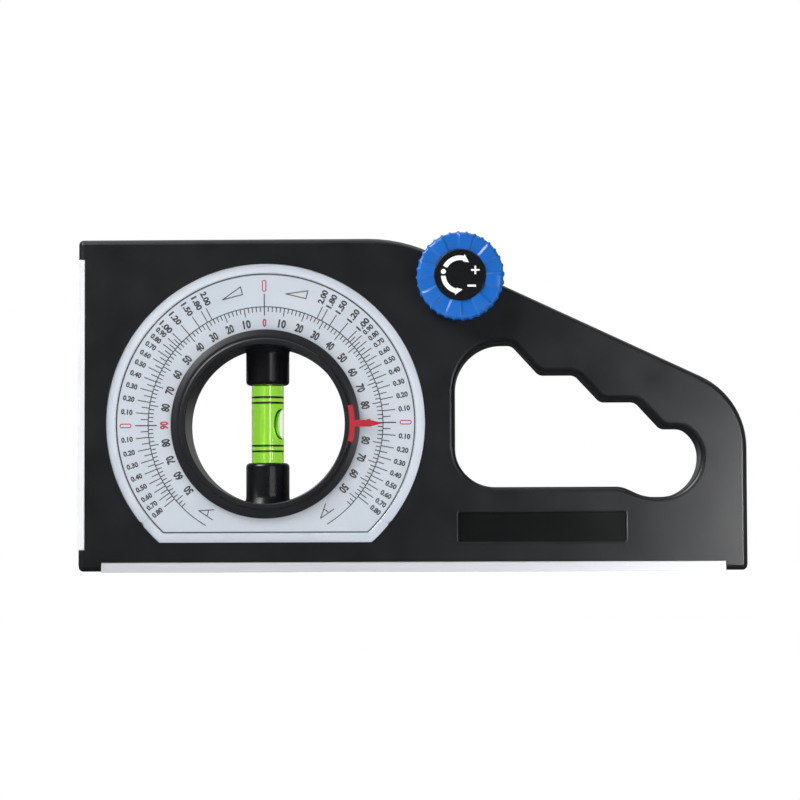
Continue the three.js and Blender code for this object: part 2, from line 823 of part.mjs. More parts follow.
function idlerGear() {
  const wheel = slab(gearOutline(idlerTeeth, trainAngle, smallFlankSteps), gearBack, gearFront);
  const hub = disc(idlerHub, gearFront - idlerHubLength, gearFront);
  const bore = disc(idlerPinRadius + runningClearance, gearFront - idlerHubLength - overrun,
    gearFront + overrun);
  const rootRadius = idlerPitch - dedendumShare * gearModule;
  const holeRadius = (rootRadius - idlerHub) / 4;
  const lightening = Array.from({ length: idlerHoles }, (_, step) => {
    const angle = (2 * Math.PI * step) / idlerHoles;
    const centre = new THREE.Vector2(Math.cos(angle), Math.sin(angle));
    centre.multiplyScalar((rootRadius + idlerHub) / 2);
    return disc(holeRadius, gearBack - overrun, gearFront + overrun, centre, smallFacets / 2);
  });
  return without(joined(wheel, hub), bore, ...lightening);
}

function idlerPin() {
  return disc(idlerPinRadius, rearInside + seatClearance, dialFloor - stripClearance - seatClearance);
}

// Vial, along Y about its own middle

const cupMouth = vialShown / 2;

function vialTube() {
  const half = vialLength / 2;
  return turnedUpright([[vialBore, -half], [vialRadius, -half], [vialRadius, half], [vialBore, half]]);
}

function vialPlug(side) {
  const outer = side * (vialLength / 2);
  const inner = side * (vialLength / 2 - plugLength);
  const radius = vialBore - seatClearance;
  return turnedUpright([[0, inner], [radius, inner], [radius, outer], [0, outer]]);
}

function vialFluid() {
  const half = vialLength / 2 - plugLength - seatClearance;
  const radius = vialBore - seatClearance;
  const column = turnedUpright([[0, -half], [radius, -half], [radius, half], [0, half]]);
  const bubble = new THREE.SphereGeometry(1, smallFacets, smallFacets / 2);
  bubble.scale(bubbleDepth, bubbleLength / 2, bubbleWidth).translate(bubbleOffset, 0, 0);
  return without(column, solid(bubble));
}

// A cup holds one end of the vial; its spigot sits in the ring's wall.
function vialCup(side) {
  const mouth = cupMouth + side * vialRaise;
  const root = ringBore - seatClearance;
  const profile = [
    [0, mouth],
    [cupRadius - cupRound, mouth],
    [cupRadius - cupRound * roundMiddleShare, mouth + cupRound * roundMiddleShare],
    [cupRadius, mouth + cupRound],
    [cupRadius, root - cupFlareLength],
    [cupRadius + cupFlare, root],
    [0, root],
  ];
  const seat = disc(root, -cupRadius - 2 * cupFlare, cupRadius + 2 * cupFlare, undefined, ringFacets);
  const body = turnedUpright(profile).intersect(seat);
  const spigotLimit = disc(ringTube - keyDepth, -cupRadius, cupRadius, undefined, ringFacets);
  const spigot = turnedUpright([[0, mouth + cupRound], [spigotRadius, mouth + cupRound],
    [spigotRadius, ringTube], [0, ringTube]]).intersect(spigotLimit);
  const socket = vialRadius + seatClearance;
  const depth = vialLength / 2 + side * vialRaise + seatClearance;
  const bore = turnedUpright([[0, 0], [socket, 0], [socket, depth], [0, depth]]);
  const cup = without(joined(body, spigot), bore);
  return side > 0 ? cup : cup.rotate([0, 0, 180]);
}

function pointer() {
  const inner = ringStep + seatClearance;
  const outer = inner + pointerHead;
  const arcPoint = (radius, angle) => new THREE.Vector2(radius * Math.cos(angle), radius * Math.sin(angle));
  const steps = smallFacets / 2;
  const sweep = (radius, from, to) => Array.from({ length: steps + 1 }, (_, step) =>
    arcPoint(radius, THREE.MathUtils.lerp(from, to, step / steps)));
  const rootAngle = Math.asin(pointerRoot / 2 / outer);
  const points = [
    ...sweep(inner, pointerHeadAngle, -pointerHeadAngle),
    ...sweep(outer, -pointerHeadAngle, -rootAngle),
    new THREE.Vector2(pointerNeckRadius, -pointerNeck / 2),
    new THREE.Vector2(pointerTip, 0),
    new THREE.Vector2(pointerNeckRadius, pointerNeck / 2),
    ...sweep(outer, rootAngle, pointerHeadAngle),
  ];
  return slab(points, bandFace, bandFace + pointerThickness);
}

// Knob: rings of points round the Z axis, joined one to the next and the last to the first

function loopedSurface(rings, facets, turn) {
  const positions = rings.flatMap((ring) =>
    Array.from({ length: facets }, (_, step) => {
      const [radius, z] = ring(step);
      const angle = turn + (2 * Math.PI * step) / facets;
      return [radius * Math.cos(angle), radius * Math.sin(angle), z];
    }).flat(),
  );
  const indices = rings.flatMap((_, row) => {
    const nextRow = (row + 1) % rings.length;
    return Array.from({ length: facets }, (_, step) => {
      const nextStep = (step + 1) % facets;
      const a = row * facets + step;
      const b = row * facets + nextStep;
      const c = nextRow * facets + nextStep;
      const d = nextRow * facets + step;
      return [a, b, c, a, c, d];
    }).flat();
  });
  const geometry = new THREE.BufferGeometry();
  geometry.setAttribute("position", new THREE.Float32BufferAttribute(positions, 3));
  geometry.setIndex(indices);
  return geometry;
}

const capSeat = knobTop - capThickness + capProud;
const shaftTop = capSeat - knobScrewHeadHeight - seatClearance;

function knobBody() {
  const facets = knobRibs * knobRibFacets;
  const rootRadius = knobRadius - knobRibHeight;
  const rib = (step) => (step % knobRibFacets === 0 ? knobRibHeight : 0);
  const landSteps = facets / knobLands;
  const drop = (step) => (step % landSteps < landSteps / 2 ? knobLandDrop : 0);
  const shoulderTop = knobTop - knobFaceRise;
  const capEdge = capRadius + seatClearance;
  const bore = shaftRadius + seatClearance;
  const rings = [
    () => [bore, knobBottom],
    (step) => [rootRadius + rib(step), knobBottom],
    (step) => [rootRadius + rib(step), shoulderTop - knobShoulder],
    (step) => [THREE.MathUtils.lerp(rootRadius, knobFaceRadius, roundMiddleShare) + rib(step) / 2,
      shoulderTop - knobShoulder * roundMiddleShare],
    (step) => [knobFaceRadius, shoulderTop - drop(step)],
    (step) => [capEdge, knobTop - drop(step)],
    () => [capEdge, capSeat],
    () => [bore, capSeat],
  ];
  const body = solid(loopedSurface(rings, facets, knobTurn));
  const key = without(disc(bore + overrun, knobBottom, shaftTop), shaftSection(knobBottom - overrun,
    shaftTop + overrun, seatClearance));
  const seat = disc(knobScrewHead + seatClearance, shaftTop, capSeat + overrun);
  return without(joined(body, key), seat);
}

// The round shaft with its driving flat.
function shaftSection(low, high, growth) {
  const flatAt = shaftRadius - shaftFlat + growth;
  const flat = block(flatAt, -2 * shaftRadius, 2 * shaftRadius, 4 * shaftRadius, low - overrun,
    high + overrun);
  return without(disc(shaftRadius + growth, low, high), flat);
}

function driveShaft() {
  const hexBottom = gearBack;
  const round = disc(shaftRadius, gearFront, knobBottom);
  const driven = shaftSection(knobBottom, shaftTop, 0);
  const hex = disc(shaftHexRadius, hexBottom, gearFront, undefined, 6);
  const journal = disc(shaftJournal, hexBottom - shaftJournalLength, hexBottom);
  const screwHole = disc(knobScrewRadius + seatClearance, shaftTop - knobScrewLength - seatClearance,
    shaftTop + overrun);
  return without(joined(round, driven, hex, journal), screwHole);
}

function drivePinion() {
  const halfTooth = Math.PI / pinionTeeth;
  const outer = gearOutline(pinionTeeth, trainAngle + Math.PI + halfTooth, smallFlankSteps);
  const wheel = slab(outer, gearBack, gearFront - seatClearance);
  const bore = disc(shaftHexRadius + seatClearance, gearBack - overrun, gearFront + overrun, undefined, 6);
  return without(wheel, bore);
}

function slottedScrew(radius, head, headHeight, length) {
  const body = joined(disc(radius, -length, 0), disc(head, 0, headHeight));
  const slot = block(-head - overrun, -screwSlotWidth / 2, 2 * head + 2 * overrun, screwSlotWidth,
    headHeight - screwSlotDepth, headHeight + overrun);
  return without(body, slot);
}

function knobCap() {
  const top = knobTop + capProud;
  return turned([[0, capSeat], [capRadius, capSeat], [capRadius, top - capDome],
    [capRadius - capDome, top], [0, top]], 2 * smallFacets);
}

function frictionWasher() {
  return turned([[washerInner, face], [washerOuter, face], [washerOuter, face + washerThickness],
    [washerInner, face + washerThickness]], 2 * smallFacets);
}

// Finishes

function finish(color, roughness, metalness = 0) {
  return () => new THREE.MeshStandardMaterial({ color, roughness, metalness });
}

const blackPlastic = finish("#1c1e20", 0.5);
const blackRing = finish("#131415", 0.35);
const bluePlastic = finish("#1f6fd6", 0.35);
const redPlastic = finish("#d8262c", 0.4);
const silverPlate = finish("#d5dae2", 0.4, 0.3);
const clearPlastic = finish("#eef2f6", 0.1);
const bareMetal = finish("#c9ccd0", 0.35, 0.9);
const magnetMetal = finish("#8f9296", 0.4, 0.9);
const screwMetal = finish("#9a9da1", 0.35, 0.9);
const whiteNylon = finish("#dcdcd6", 0.5);
const greenFluid = finish("#a6e22e", 0.1);
const vialPlastic = finish("#d8f2a0", 0.1);
const rubber = finish("#1a1a1a", 0.8);

function piece(name, body, material) {
  const mesh = new THREE.Mesh(geometryOf(body), material());
  mesh.name = name;
  return mesh;
}

function placed(mesh, x, y, z = 0) {
  mesh.position.set(x, y, z);
  return mesh;
}

// Assembly

function fixedPieces() {
  const group = new THREE.Group();
  group.add(
    piece("front_housing", frontHousing(), blackPlastic),
    piece("rear_cover", rearCover(), blackPlastic),
    piece("base_strip", baseStrip(), bareMetal),
    piece("side_strip", sideStrip(), bareMetal),
    piece("dial_plate", dialPlate(), silverPlate),
    piece("dial_window", dialWindow(), clearPlastic),
    placed(piece("idler_pin", idlerPin(), screwMetal), idlerCentre.x, idlerCentre.y),
    placed(piece("friction_washer", frictionWasher(), rubber), knobCentre.x, knobCentre.y),
  );
  baseMagnetPlaces.forEach((place, index) => {
    group.add(piece(`base_magnet_${index + 1}`, magnetBody(place, false), magnetMetal));
  });
  sideMagnetPlaces.forEach((place, index) => {
    group.add(piece(`side_magnet_${index + 1}`, magnetBody(place, true), magnetMetal));
  });
  screwPlaces.forEach((place, index) => {
    const screw = piece(`case_screw_${index + 1}`,
      slottedScrew(screwRadius, screwHead, screwHeadHeight, screwLength), screwMetal);
    screw.rotation.x = Math.PI;
    group.add(placed(screw, place.x, place.y, back + screwHeadHeight));
  });
  return group;
}

function turningPieces() {
  const vial = new THREE.Group();
  vial.position.y = vialRaise;
  vial.add(
    piece("vial_tube", vialTube(), vialPlastic),
    piece("vial_fluid", vialFluid(), greenFluid),
    piece("vial_plug_upper", vialPlug(1), blackRing),
    piece("vial_plug_lower", vialPlug(-1), blackRing),
  );
  const group = new THREE.Group();
  group.position.set(dialCentre.x, dialCentre.y, 0);
  group.add(
    piece("rotor_ring", rotorRing(), blackRing),
    piece("ring_gear", ringGear(), whiteNylon),
    piece("ring_clip", ringClip(), screwMetal),
    piece("vial_cup_upper", vialCup(1), blackRing),
    piece("vial_cup_lower", vialCup(-1), blackRing),
    piece("pointer", pointer(), redPlastic),
    vial,
  );
  return group;
}

function idlerPieces() {
  return placed(piece("idler_gear", idlerGear(), whiteNylon), idlerCentre.x, idlerCentre.y);
}

function knobPieces() {
  const group = new THREE.Group();
  group.position.set(knobCentre.x, knobCentre.y, 0);
  const screw = piece("knob_screw",
    slottedScrew(knobScrewRadius, knobScrewHead, knobScrewHeadHeight, knobScrewLength), screwMetal);
  group.add(
    piece("knob_body", knobBody(), bluePlastic),
    piece("knob_cap", knobCap(), blackRing),
    piece("drive_shaft", driveShaft(), screwMetal),
    piece("drive_pinion", drivePinion(), whiteNylon),
    placed(screw, 0, 0, shaftTop),
  );
  return group;
}

const inclinometer = new THREE.Group();
inclinometer.add(fixedPieces(), turningPieces(), idlerPieces(), knobPieces());
inclinometer.rotation.x = Math.PI / 2;
inclinometer.position.x = -bodyLength / 2;

export default inclinometer;
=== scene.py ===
import json
from math import asin, atan, atan2, ceil, copysign, cos, pi, radians, sin, tan

import bpy
from mathutils import Matrix, Vector


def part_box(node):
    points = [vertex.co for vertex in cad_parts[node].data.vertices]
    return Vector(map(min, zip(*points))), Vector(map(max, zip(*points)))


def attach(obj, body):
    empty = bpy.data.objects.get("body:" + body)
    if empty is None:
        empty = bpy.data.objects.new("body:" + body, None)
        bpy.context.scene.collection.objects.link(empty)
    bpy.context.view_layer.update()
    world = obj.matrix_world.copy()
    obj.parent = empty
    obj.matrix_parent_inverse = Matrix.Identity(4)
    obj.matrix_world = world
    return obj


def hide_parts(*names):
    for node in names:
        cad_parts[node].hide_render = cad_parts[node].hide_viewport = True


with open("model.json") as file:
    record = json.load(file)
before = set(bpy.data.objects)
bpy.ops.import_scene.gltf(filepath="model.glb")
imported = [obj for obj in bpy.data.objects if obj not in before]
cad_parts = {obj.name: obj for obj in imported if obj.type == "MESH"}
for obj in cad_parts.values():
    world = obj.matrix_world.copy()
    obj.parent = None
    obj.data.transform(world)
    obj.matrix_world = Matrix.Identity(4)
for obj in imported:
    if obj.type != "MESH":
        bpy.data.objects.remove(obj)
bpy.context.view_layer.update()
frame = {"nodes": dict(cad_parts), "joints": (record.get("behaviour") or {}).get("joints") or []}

# The pieces are shaped in millimetres on a bench, face up: x to the right, y up the dial and z
# towards the user. stand() then sets them upright in the frame, in metres.
MM = 0.001
FULL_TURN = 2 * pi
OVERRUN = 1.0


def front_of(node):
    """How far a node reaches towards the user, as a level on the bench."""
    return -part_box(node)[0].y / MM


def back_of(node):
    """How far a node reaches away from the user, as a level on the bench."""
    return -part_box(node)[1].y / MM


def joint_centre(name):
    joint = next(joint for joint in frame["joints"] if joint["name"] == name)
    return Vector(joint["pos_m"])


case_corner = Vector((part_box("side_strip")[0].x, 0, 0))


def on_bench(place):
    """A place in the frame as (x, y) on the case's bench."""
    return Vector(((place.x - case_corner.x) / MM, place.z / MM))


def flat_box(node):
    """A node's left, bottom, right and top on the case's bench."""
    low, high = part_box(node)
    return *on_bench(low), *on_bench(high)


def middle(node):
    low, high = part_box(node)
    return on_bench((low + high) / 2)


ring_centre = joint_centre("rotor_spin")
knob_centre = joint_centre("knob_spin")
dial_place = on_bench(ring_centre)
idler_place = on_bench(joint_centre("idler_spin"))
knob_place = on_bench(knob_centre)

# Case
FACE = front_of("front_housing")
PARTING = back_of("front_housing")
REAR = back_of("rear_cover")
CASE_LEFT, CASE_FOOT, CASE_RIGHT, CASE_TOP = flat_box("rear_cover")
EDGE_ROUND = 1.6
CORNER_ROUND = 1.5
CREST_START = 97.1
CREST_ROUND = 45.0
NOSE_HEIGHT = 51.9
NOSE_ROUND = 23.5
SIDE_WALL = 2.2
FRONT_WALL = 2.8
PARTING_CHAMFER = 0.15
BOSS_RADIUS = 11.0
POCKET_WALL = 1.5
STRIP_GROWTH = 0.45
STRIP_BEVEL = 0.18
STRIP_FIT = 0.15
COLLAR_WALL = 1.95
COLLAR_HEIGHT = 1.8
COLLAR_CHAMFER = 0.6
SHAFT_BOSS = 4.5
SHAFT_HOLE = 3.25
SHAFT_BEARING = 2.45
PIN_HOLE = 2.1

# Grip opening: its box, and its corners as shares of its length and height with their radii
GRIP_LEFT, GRIP_BOTTOM = 113.0, 22.2
GRIP_LENGTH, GRIP_HEIGHT = 73.35, 46.5
GRIP_SHARES = [
    (0, 0.067, 12), (0.679, 0.067, 8), (0.77, 0, 12.2), (1, 0, 12.2), (1, 0.36, 9.4),
    (0.935, 0.448, 5), (0.848, 0.448, 3), (0.744, 0.626, 3), (0.6, 0.626, 3),
    (0.495, 0.804, 3), (0.348, 0.804, 3), (0.2345, 1, 3), (0, 1, 14),
]

# Bare name recess
RECESS_LEFT, RECESS_BOTTOM = 113.9, 9.0
RECESS_LENGTH, RECESS_HEIGHT = 50.0, 8.75
RECESS_DEPTH = 0.4
RECESS_ROUND = 0.5
BEAD_WIDTH = 0.55
BEAD_HEIGHT = 0.09

# Dial
PLATE_BACK = back_of("dial_plate")
WINDOW_BACK = back_of("dial_window")
WINDOW_TOP = front_of("dial_window")
DIAL_RADIUS = 47.75
DIAL_RISE = 0.3
DIAL_FLAT = 35.4
DIAL_BORE = 27.15
DIAL_FIT = 0.15
PLATE_DROP = 0.1
INK = 0.02
WINDOW_EDGE = 0.5
WINDOW_BEVEL = 2.5
WINDOW_STEP = 0.15
NOTCH_ANGLE = 0.68
NOTCH_RADIUS = 0.7
NOTCH_LINE = 0.22
GROOVE_PLACE = 2.75
GROOVE_WIDTH = 0.5
GROOVE_DEPTH = 0.5

# Turning ring and vial
RING_BORE = 23.85
RING_TUBE = 26.0
RING_STEP = 25.7
RING_FLANGE = 28.3
FLANGE_THICKNESS = 0.9
BAND_SLOPE = 1.8
BAND_FALL = 0.45
RING_FRONT = front_of("rotor_ring")
RING_REAR = back_of("rotor_ring")
BAND_FACE = back_of("pointer")
RING_FIT = 0.25
VIAL_RADIUS = 4.85
VIAL_BORE = 3.7
VIAL_HALF = 16.0
VIAL_RAISE = 0.35
PLUG_LENGTH = 3.1
CUP_RADIUS = 6.55
CUP_MOUTH = 11.75
SPIGOT_RADIUS = 4.2
SPIGOT_END = 25.15

# Knob
KNOB_FOOT = back_of("knob_body")
KNOB_TOP = front_of("knob_body")
CAP_TOP = front_of("knob_cap")
CAP_SEAT = back_of("knob_cap")
KNOB_RADIUS = 13.2
CAP_RADIUS = 7.55
CAP_FIT = 0.12
KNOB_BORE = 3.1
HEAD_ROOM = (3.0, 1.7)

face_place = dial_place + Vector((0, DIAL_RISE))


# Modelling

def object_mode():
    if bpy.context.object and bpy.context.object.mode != "OBJECT":
        bpy.ops.object.mode_set(mode="OBJECT")


def take(*pieces):
    """Selects these pieces and nothing else."""
    object_mode()
    bpy.ops.object.select_all(action="DESELECT")
    for piece in pieces:
        piece.select_set(True)
    if pieces:
        bpy.context.view_layer.objects.active = pieces[0]


def edit(piece, select="SELECT"):
    take(piece)
    bpy.ops.object.mode_set(mode="EDIT")
    bpy.ops.mesh.select_mode(type="VERT")
    bpy.ops.mesh.select_all(action=select)


def flat_piece(name, points):
    """One face with its corners at the given points."""
    take()
    bpy.ops.mesh.primitive_circle_add(vertices=len(points), fill_type="NGON")
    piece = bpy.context.object
    piece.name = name
    for vertex, point in zip(piece.data.vertices, points):
        vertex.co = point
    return piece


def tidy_normals(piece, gap=1e-4):
    edit(piece)
    bpy.ops.mesh.remove_doubles(threshold=gap)
    bpy.ops.mesh.dissolve_degenerate(threshold=gap)
    bpy.ops.mesh.select_all(action="SELECT")
    bpy.ops.mesh.normals_make_consistent(inside=False)
    object_mode()
    return piece


def lofted(name, rings):
    """A solid extruded through rings of (x, y, z) points, all with as many points."""
    count = len(rings[0])
    piece = flat_piece(name, rings[0])
    for ring in rings[1:]:
        edit(piece, "DESELECT")
        object_mode()
        for vertex in piece.data.vertices[-count:]:
            vertex.select = True
        bpy.ops.object.mode_set(mode="EDIT")
        bpy.ops.mesh.extrude_region_move()
        object_mode()
        for vertex, point in zip(piece.data.vertices[-count:], ring):
            vertex.co = point
    return tidy_normals(piece)


def stacked(name, outlines):
    """A solid through a stack of (outline, level)."""
    return lofted(name, [[(*point, level) for point in points] for points, level in outlines])


def slab(name, points, low, high):
    return stacked(name, [(points, low), (points, high)])


def disc(name, radius, low, high, centre=(0, 0), steps=96):
    return slab(name, circle(radius, steps, centre), low, high)


def box(name, left, bottom, width, height, low, high):
    return slab(name, rectangle(left, bottom, width, height), low, high)


def turned(name, corners, steps=160):
    """A profile of (radius, z, rounding) corners spun a full turn about z."""
    piece = flat_piece(name, [(radius, 0, z) for radius, z in rounded(corners)])
    edit(piece)
    bpy.ops.mesh.delete(type="ONLY_FACE")
    drop_axis_edges(piece)
    edit(piece)
    bpy.ops.mesh.spin(steps=steps, angle=FULL_TURN, center=(0, 0, 0), axis=(0, 0, 1))
    return tidy_normals(piece)


def drop_axis_edges(piece):
    """Sides of a profile that lie on the axis would spin into nothing, so they go."""
    edit(piece, "DESELECT")
    bpy.ops.mesh.select_mode(type="EDGE")
    object_mode()
    for edge in piece.data.edges:
        edge.select = all(piece.data.vertices[index].co.x == 0 for index in edge.vertices)
    bpy.ops.object.mode_set(mode="EDIT")
    bpy.ops.mesh.delete(type="EDGE")
    object_mode()


def modified(piece, kind, **settings):
    """Adds a modifier with its settings, and applies it."""
    take(piece)
    bpy.ops.object.modifier_add(type=kind)
    modifier = piece.modifiers[-1]
    for name, value in settings.items():
        setattr(modifier, name, value)
    bpy.ops.object.modifier_apply(modifier=modifier.name)
    return piece


def combine(piece, operation, cutters):
    for cutter in cutters:
        modified(piece, "BOOLEAN", operation=operation, solver="EXACT", object=cutter)
        bpy.data.objects.remove(cutter)
    return piece


def cut(piece, *cutters):
    return combine(piece, "DIFFERENCE", cutters)


def fuse(piece, *others):
    return combine(piece, "UNION", others)


def together(name, pieces):
    """Separate solids as one object."""
    take(*pieces)
    bpy.ops.object.join()
    bpy.context.object.name = name
    return bpy.context.object


def copied(piece):
    copy = piece.copy()
    copy.data = piece.data.copy()
    bpy.context.collection.objects.link(copy)
    return copy


def bevelled(piece, width, segments=2, angle=35):
    """Breaks every edge sharper than the angle."""
    return modified(piece, "BEVEL", width=width, segments=segments, limit_method="ANGLE",
                    angle_limit=radians(angle))


def smooth(piece, angle=35, weighted=False):
    """Smooth shading; weighted keeps large flat faces flat beside their rounded edges."""
    take(piece)
    bpy.ops.object.shade_smooth_by_angle(angle=radians(angle))
    return modified(piece, "WEIGHTED_NORMAL", keep_sharp=True, weight=100) if weighted else piece


def spin(angle, axis="Z"):
    return Matrix.Rotation(angle, 4, axis)


def placed(piece, matrix):
    take(piece)
    piece.matrix_world = matrix
    bpy.ops.object.transform_apply(location=True, rotation=True, scale=True)
    return piece


def moved(piece, place, angle=0.0):
    """Moves a piece on the bench, after turning it about z."""
    return placed(piece, Matrix.Translation((*place, 0)) @ spin(angle))


def stand(piece, centre):
    """Sets a piece upright in the frame, in metres, with its place in its mesh."""
    return placed(piece, Matrix.Translation(centre) @ spin(pi / 2, "X") @ Matrix.Scale(MM, 4))


def hand_in(piece, centre, body, slot, materials, *nodes):
    """Stands a finished piece in its place, with its materials, its body and its CAD nodes."""
    stand(piece, centre)
    for material in materials:
        piece.data.materials.append(material)
    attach(piece, body)
    if nodes:
        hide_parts(*nodes)


# Outlines

def unit(angle):
    return Vector((cos(angle), sin(angle)))


def arc(radius, start, end, steps, centre=(0, 0)):
    return [
        Vector(centre) + radius * unit(start + (end - start) * step / steps)
        for step in range(steps + 1)
    ]


def circle(radius, steps=160, centre=(0, 0)):
    return arc(radius, 0, FULL_TURN, steps, centre)[:-1]


def neighbours(corners, index):
    """A corner's place, the directions into it and out of it, and its turn."""
    place = Vector(corners[index][:2])
    incoming = (place - Vector(corners[index - 1][:2])).normalized()
    outgoing = (Vector(corners[(index + 1) % len(corners)][:2]) - place).normalized()
    cross = incoming.x * outgoing.y - incoming.y * outgoing.x
    return place, incoming, outgoing, atan2(cross, incoming.dot(outgoing))


def rounded(corners, step_angle=radians(5)):
    """The outline through corners of (x, y, radius), each corner drawn as an arc."""
    points = []
    for index, (_, _, radius) in enumerate(corners):
        place, incoming, _, turn = neighbours(corners, index)
        if radius == 0:
            points.append(place)
            continue
        side = copysign(1, turn)
        start = place - incoming * radius * tan(abs(turn) / 2)
        centre = start + side * radius * Vector((-incoming.y, incoming.x))
        arm = start - centre
        first = atan2(arm.y, arm.x)
        # The small share taken off keeps the count alike on outlines that are moved inwards
        steps = max(2, ceil(abs(turn) / step_angle - 0.01))
        points += arc(radius, first, first + turn, steps, centre)
    return points


def inset(corners, distance):
    """The same corners moved inwards by a distance, or outwards by a negative one."""
    moved_corners = []
    for index, (_, _, radius) in enumerate(corners):
        place, incoming, outgoing, turn = neighbours(corners, index)
        before = Vector((-incoming.y, incoming.x))
        after = Vector((-outgoing.y, outgoing.x))
        place = place + (before + after) * distance / (1 + before.dot(after))
        moved_corners.append((*place, max(radius - copysign(1, turn) * distance, 0.03)))
    return moved_corners


def rectangle(left, bottom, width, height, radius=0.0):
    right, top = left + width, bottom + height
    corners = [(left, bottom), (right, bottom), (right, top), (left, top)]
    return rounded([(*corner, radius) for corner in corners])


def dial_outline(drawn_in, steps=180):
    """The dial's circle, cut straight along its lower side, its centre a little above the ring's."""
    radius = DIAL_RADIUS - drawn_in
    limit = asin((DIAL_FLAT - drawn_in + DIAL_RISE) / radius)
    return arc(radius, -limit, pi + limit, steps, face_place)


def dial_slab(name, drawn_in, low, high):
    return slab(name, dial_outline(drawn_in), low, high)


def quarter(steps=6):
    """Shares of a quarter-round edge: how far it has drawn in, and how far it has risen."""
    angles = [pi / 2 * step / steps for step in range(1, steps + 1)]
    return [(1 - cos(angle), sin(angle)) for angle in angles]


# Case shells

CASE_CORNERS = [
    (CASE_LEFT, CASE_FOOT, CORNER_ROUND),
    (CASE_RIGHT, CASE_FOOT, CORNER_ROUND),
    (CASE_RIGHT, NOSE_HEIGHT, NOSE_ROUND),
    (CREST_START, CASE_TOP, CREST_ROUND),
    (CASE_LEFT, CASE_TOP, CORNER_ROUND),
]
GRIP_CORNERS = [
    (GRIP_LEFT + along * GRIP_LENGTH, GRIP_BOTTOM + up * GRIP_HEIGHT, radius)
    for along, up, radius in GRIP_SHARES
]
SCREW_NODES = [f"case_screw_{number}" for number in range(1, 9)]
MAGNET_NODES = [f"base_magnet_{number}" for number in range(1, 5)] + ["side_magnet_1", "side_magnet_2"]
SCREW_BOSS = 3.2
SCREW_HOLE = 1.4
SCREW_DEPTH = 11.0
SCREW_SEAT = 2.8
SCREW_SHANK = 1.3
SCREW_HEAD = (2.65, 1.5)
CROSS_REACH = 1.5
CROSS_LINE = 0.64
CROSS_DEPTH = 0.95


def edge_levels(parting, outside):
    """From a shell's parting line to its rounded outer face: how far drawn in, and the level."""
    way = copysign(1, outside - parting)
    start = outside - way * EDGE_ROUND
    levels = [(PARTING_CHAMFER, parting), (0, parting + way * PARTING_CHAMFER), (0, start)]
    for drawn_in, risen in quarter():
        levels.append((EDGE_ROUND * drawn_in, start + way * EDGE_ROUND * risen))
    return levels


def shell_block(name, parting, outside):
    """The case's rounded block on one side of the parting line, with the knob's swelling."""
    levels = edge_levels(parting, outside)
    outlines = [(rounded(inset(CASE_CORNERS, drawn_in)), level) for drawn_in, level in levels]
    boss = [(circle(BOSS_RADIUS - drawn_in, 96, knob_place), level) for drawn_in, level in levels]
    return fuse(stacked(name, outlines), stacked("boss", boss))


def grip_cutter(parting, outside):
    """The grip opening, flared at the outer face so that its rim comes out rounded."""
    way = copysign(1, outside - parting)
    levels = edge_levels(parting, outside)
    before = (levels[0][0], parting - way * OVERRUN)
    beyond = (levels[-1][0], outside + way * OVERRUN)
    return stacked("grip_cutter", [
        (rounded(inset(GRIP_CORNERS, -flare)), level) for flare, level in (before, *levels, beyond)
    ])


def strip_box(node):
    """A metal strip's left, bottom, right and top, a little thicker than its node."""
    left, bottom, right, top = flat_box(node)
    if node == "base_strip":
        return left, bottom, right, top + STRIP_GROWTH
    return left, bottom, right + STRIP_GROWTH, top


def strip_channels():
    """Room for the two metal strips, open to the front and the rear."""
    low, high = REAR - OVERRUN, FACE + OVERRUN
    left, _, right, top = strip_box("base_strip")
    base = rectangle(left - STRIP_FIT, -OVERRUN, right - left + 2 * STRIP_FIT, top + OVERRUN)
    _, bottom, right, top = strip_box("side_strip")
    side = rectangle(-OVERRUN, bottom - STRIP_FIT, right + OVERRUN, top - bottom + 2 * STRIP_FIT)
    return [slab("channel", outline, low, high) for outline in (base, side)]


def around(node, growth):
    """A block round a node, larger by a growth on every side."""
    left, bottom, right, top = flat_box(node)
    return box("around", left - growth, bottom - growth, right - left + 2 * growth,
               top - bottom + 2 * growth, back_of(node) - growth, front_of(node) + growth)


def hollow():
    """The inside of the front shell, round the grip's walls, the screw bosses and the magnets."""
    strip_side = flat_box("side_strip")[2]
    strip_foot = flat_box("base_strip")[3]
    corners = [(strip_side, strip_foot, CORNER_ROUND), (CASE_RIGHT, strip_foot, CORNER_ROUND),
               *CASE_CORNERS[2:4], (strip_side, CASE_TOP, CORNER_ROUND)]
    low, high = PARTING - OVERRUN, FACE - FRONT_WALL
    room = slab("hollow", rounded(inset(corners, SIDE_WALL)), low, high)
    fuse(room, disc("boss_room", BOSS_RADIUS - POCKET_WALL, low, high, knob_place, 48))
    around_grip = rounded(inset(GRIP_CORNERS, -SIDE_WALL))
    grip_wall = slab("grip_wall", around_grip, low - OVERRUN, high + OVERRUN)
    bosses = [
        disc("boss", SCREW_BOSS, PARTING, high + OVERRUN, middle(node), 24) for node in SCREW_NODES
    ]
    pockets = [around(node, POCKET_WALL) for node in MAGNET_NODES]
    return cut(room, grip_wall, *bosses, *pockets)


def recess_stack(name, levels):
    """A block through (how far it flares past the recess, level above the face)."""
    return stacked(name, [
        (rectangle(RECESS_LEFT - flare, RECESS_BOTTOM - flare, RECESS_LENGTH + 2 * flare,
                   RECESS_HEIGHT + 2 * flare, RECESS_ROUND + flare), FACE + level)
        for flare, level in levels
    ])


def recess_bead():
    """The outside of the fine bead round the name recess."""
    return recess_stack("bead", [
        (BEAD_WIDTH, -0.2), (BEAD_WIDTH, 0), (0.75 * BEAD_WIDTH, 0.7 * BEAD_HEIGHT),
        (0.5 * BEAD_WIDTH, BEAD_HEIGHT),
    ])


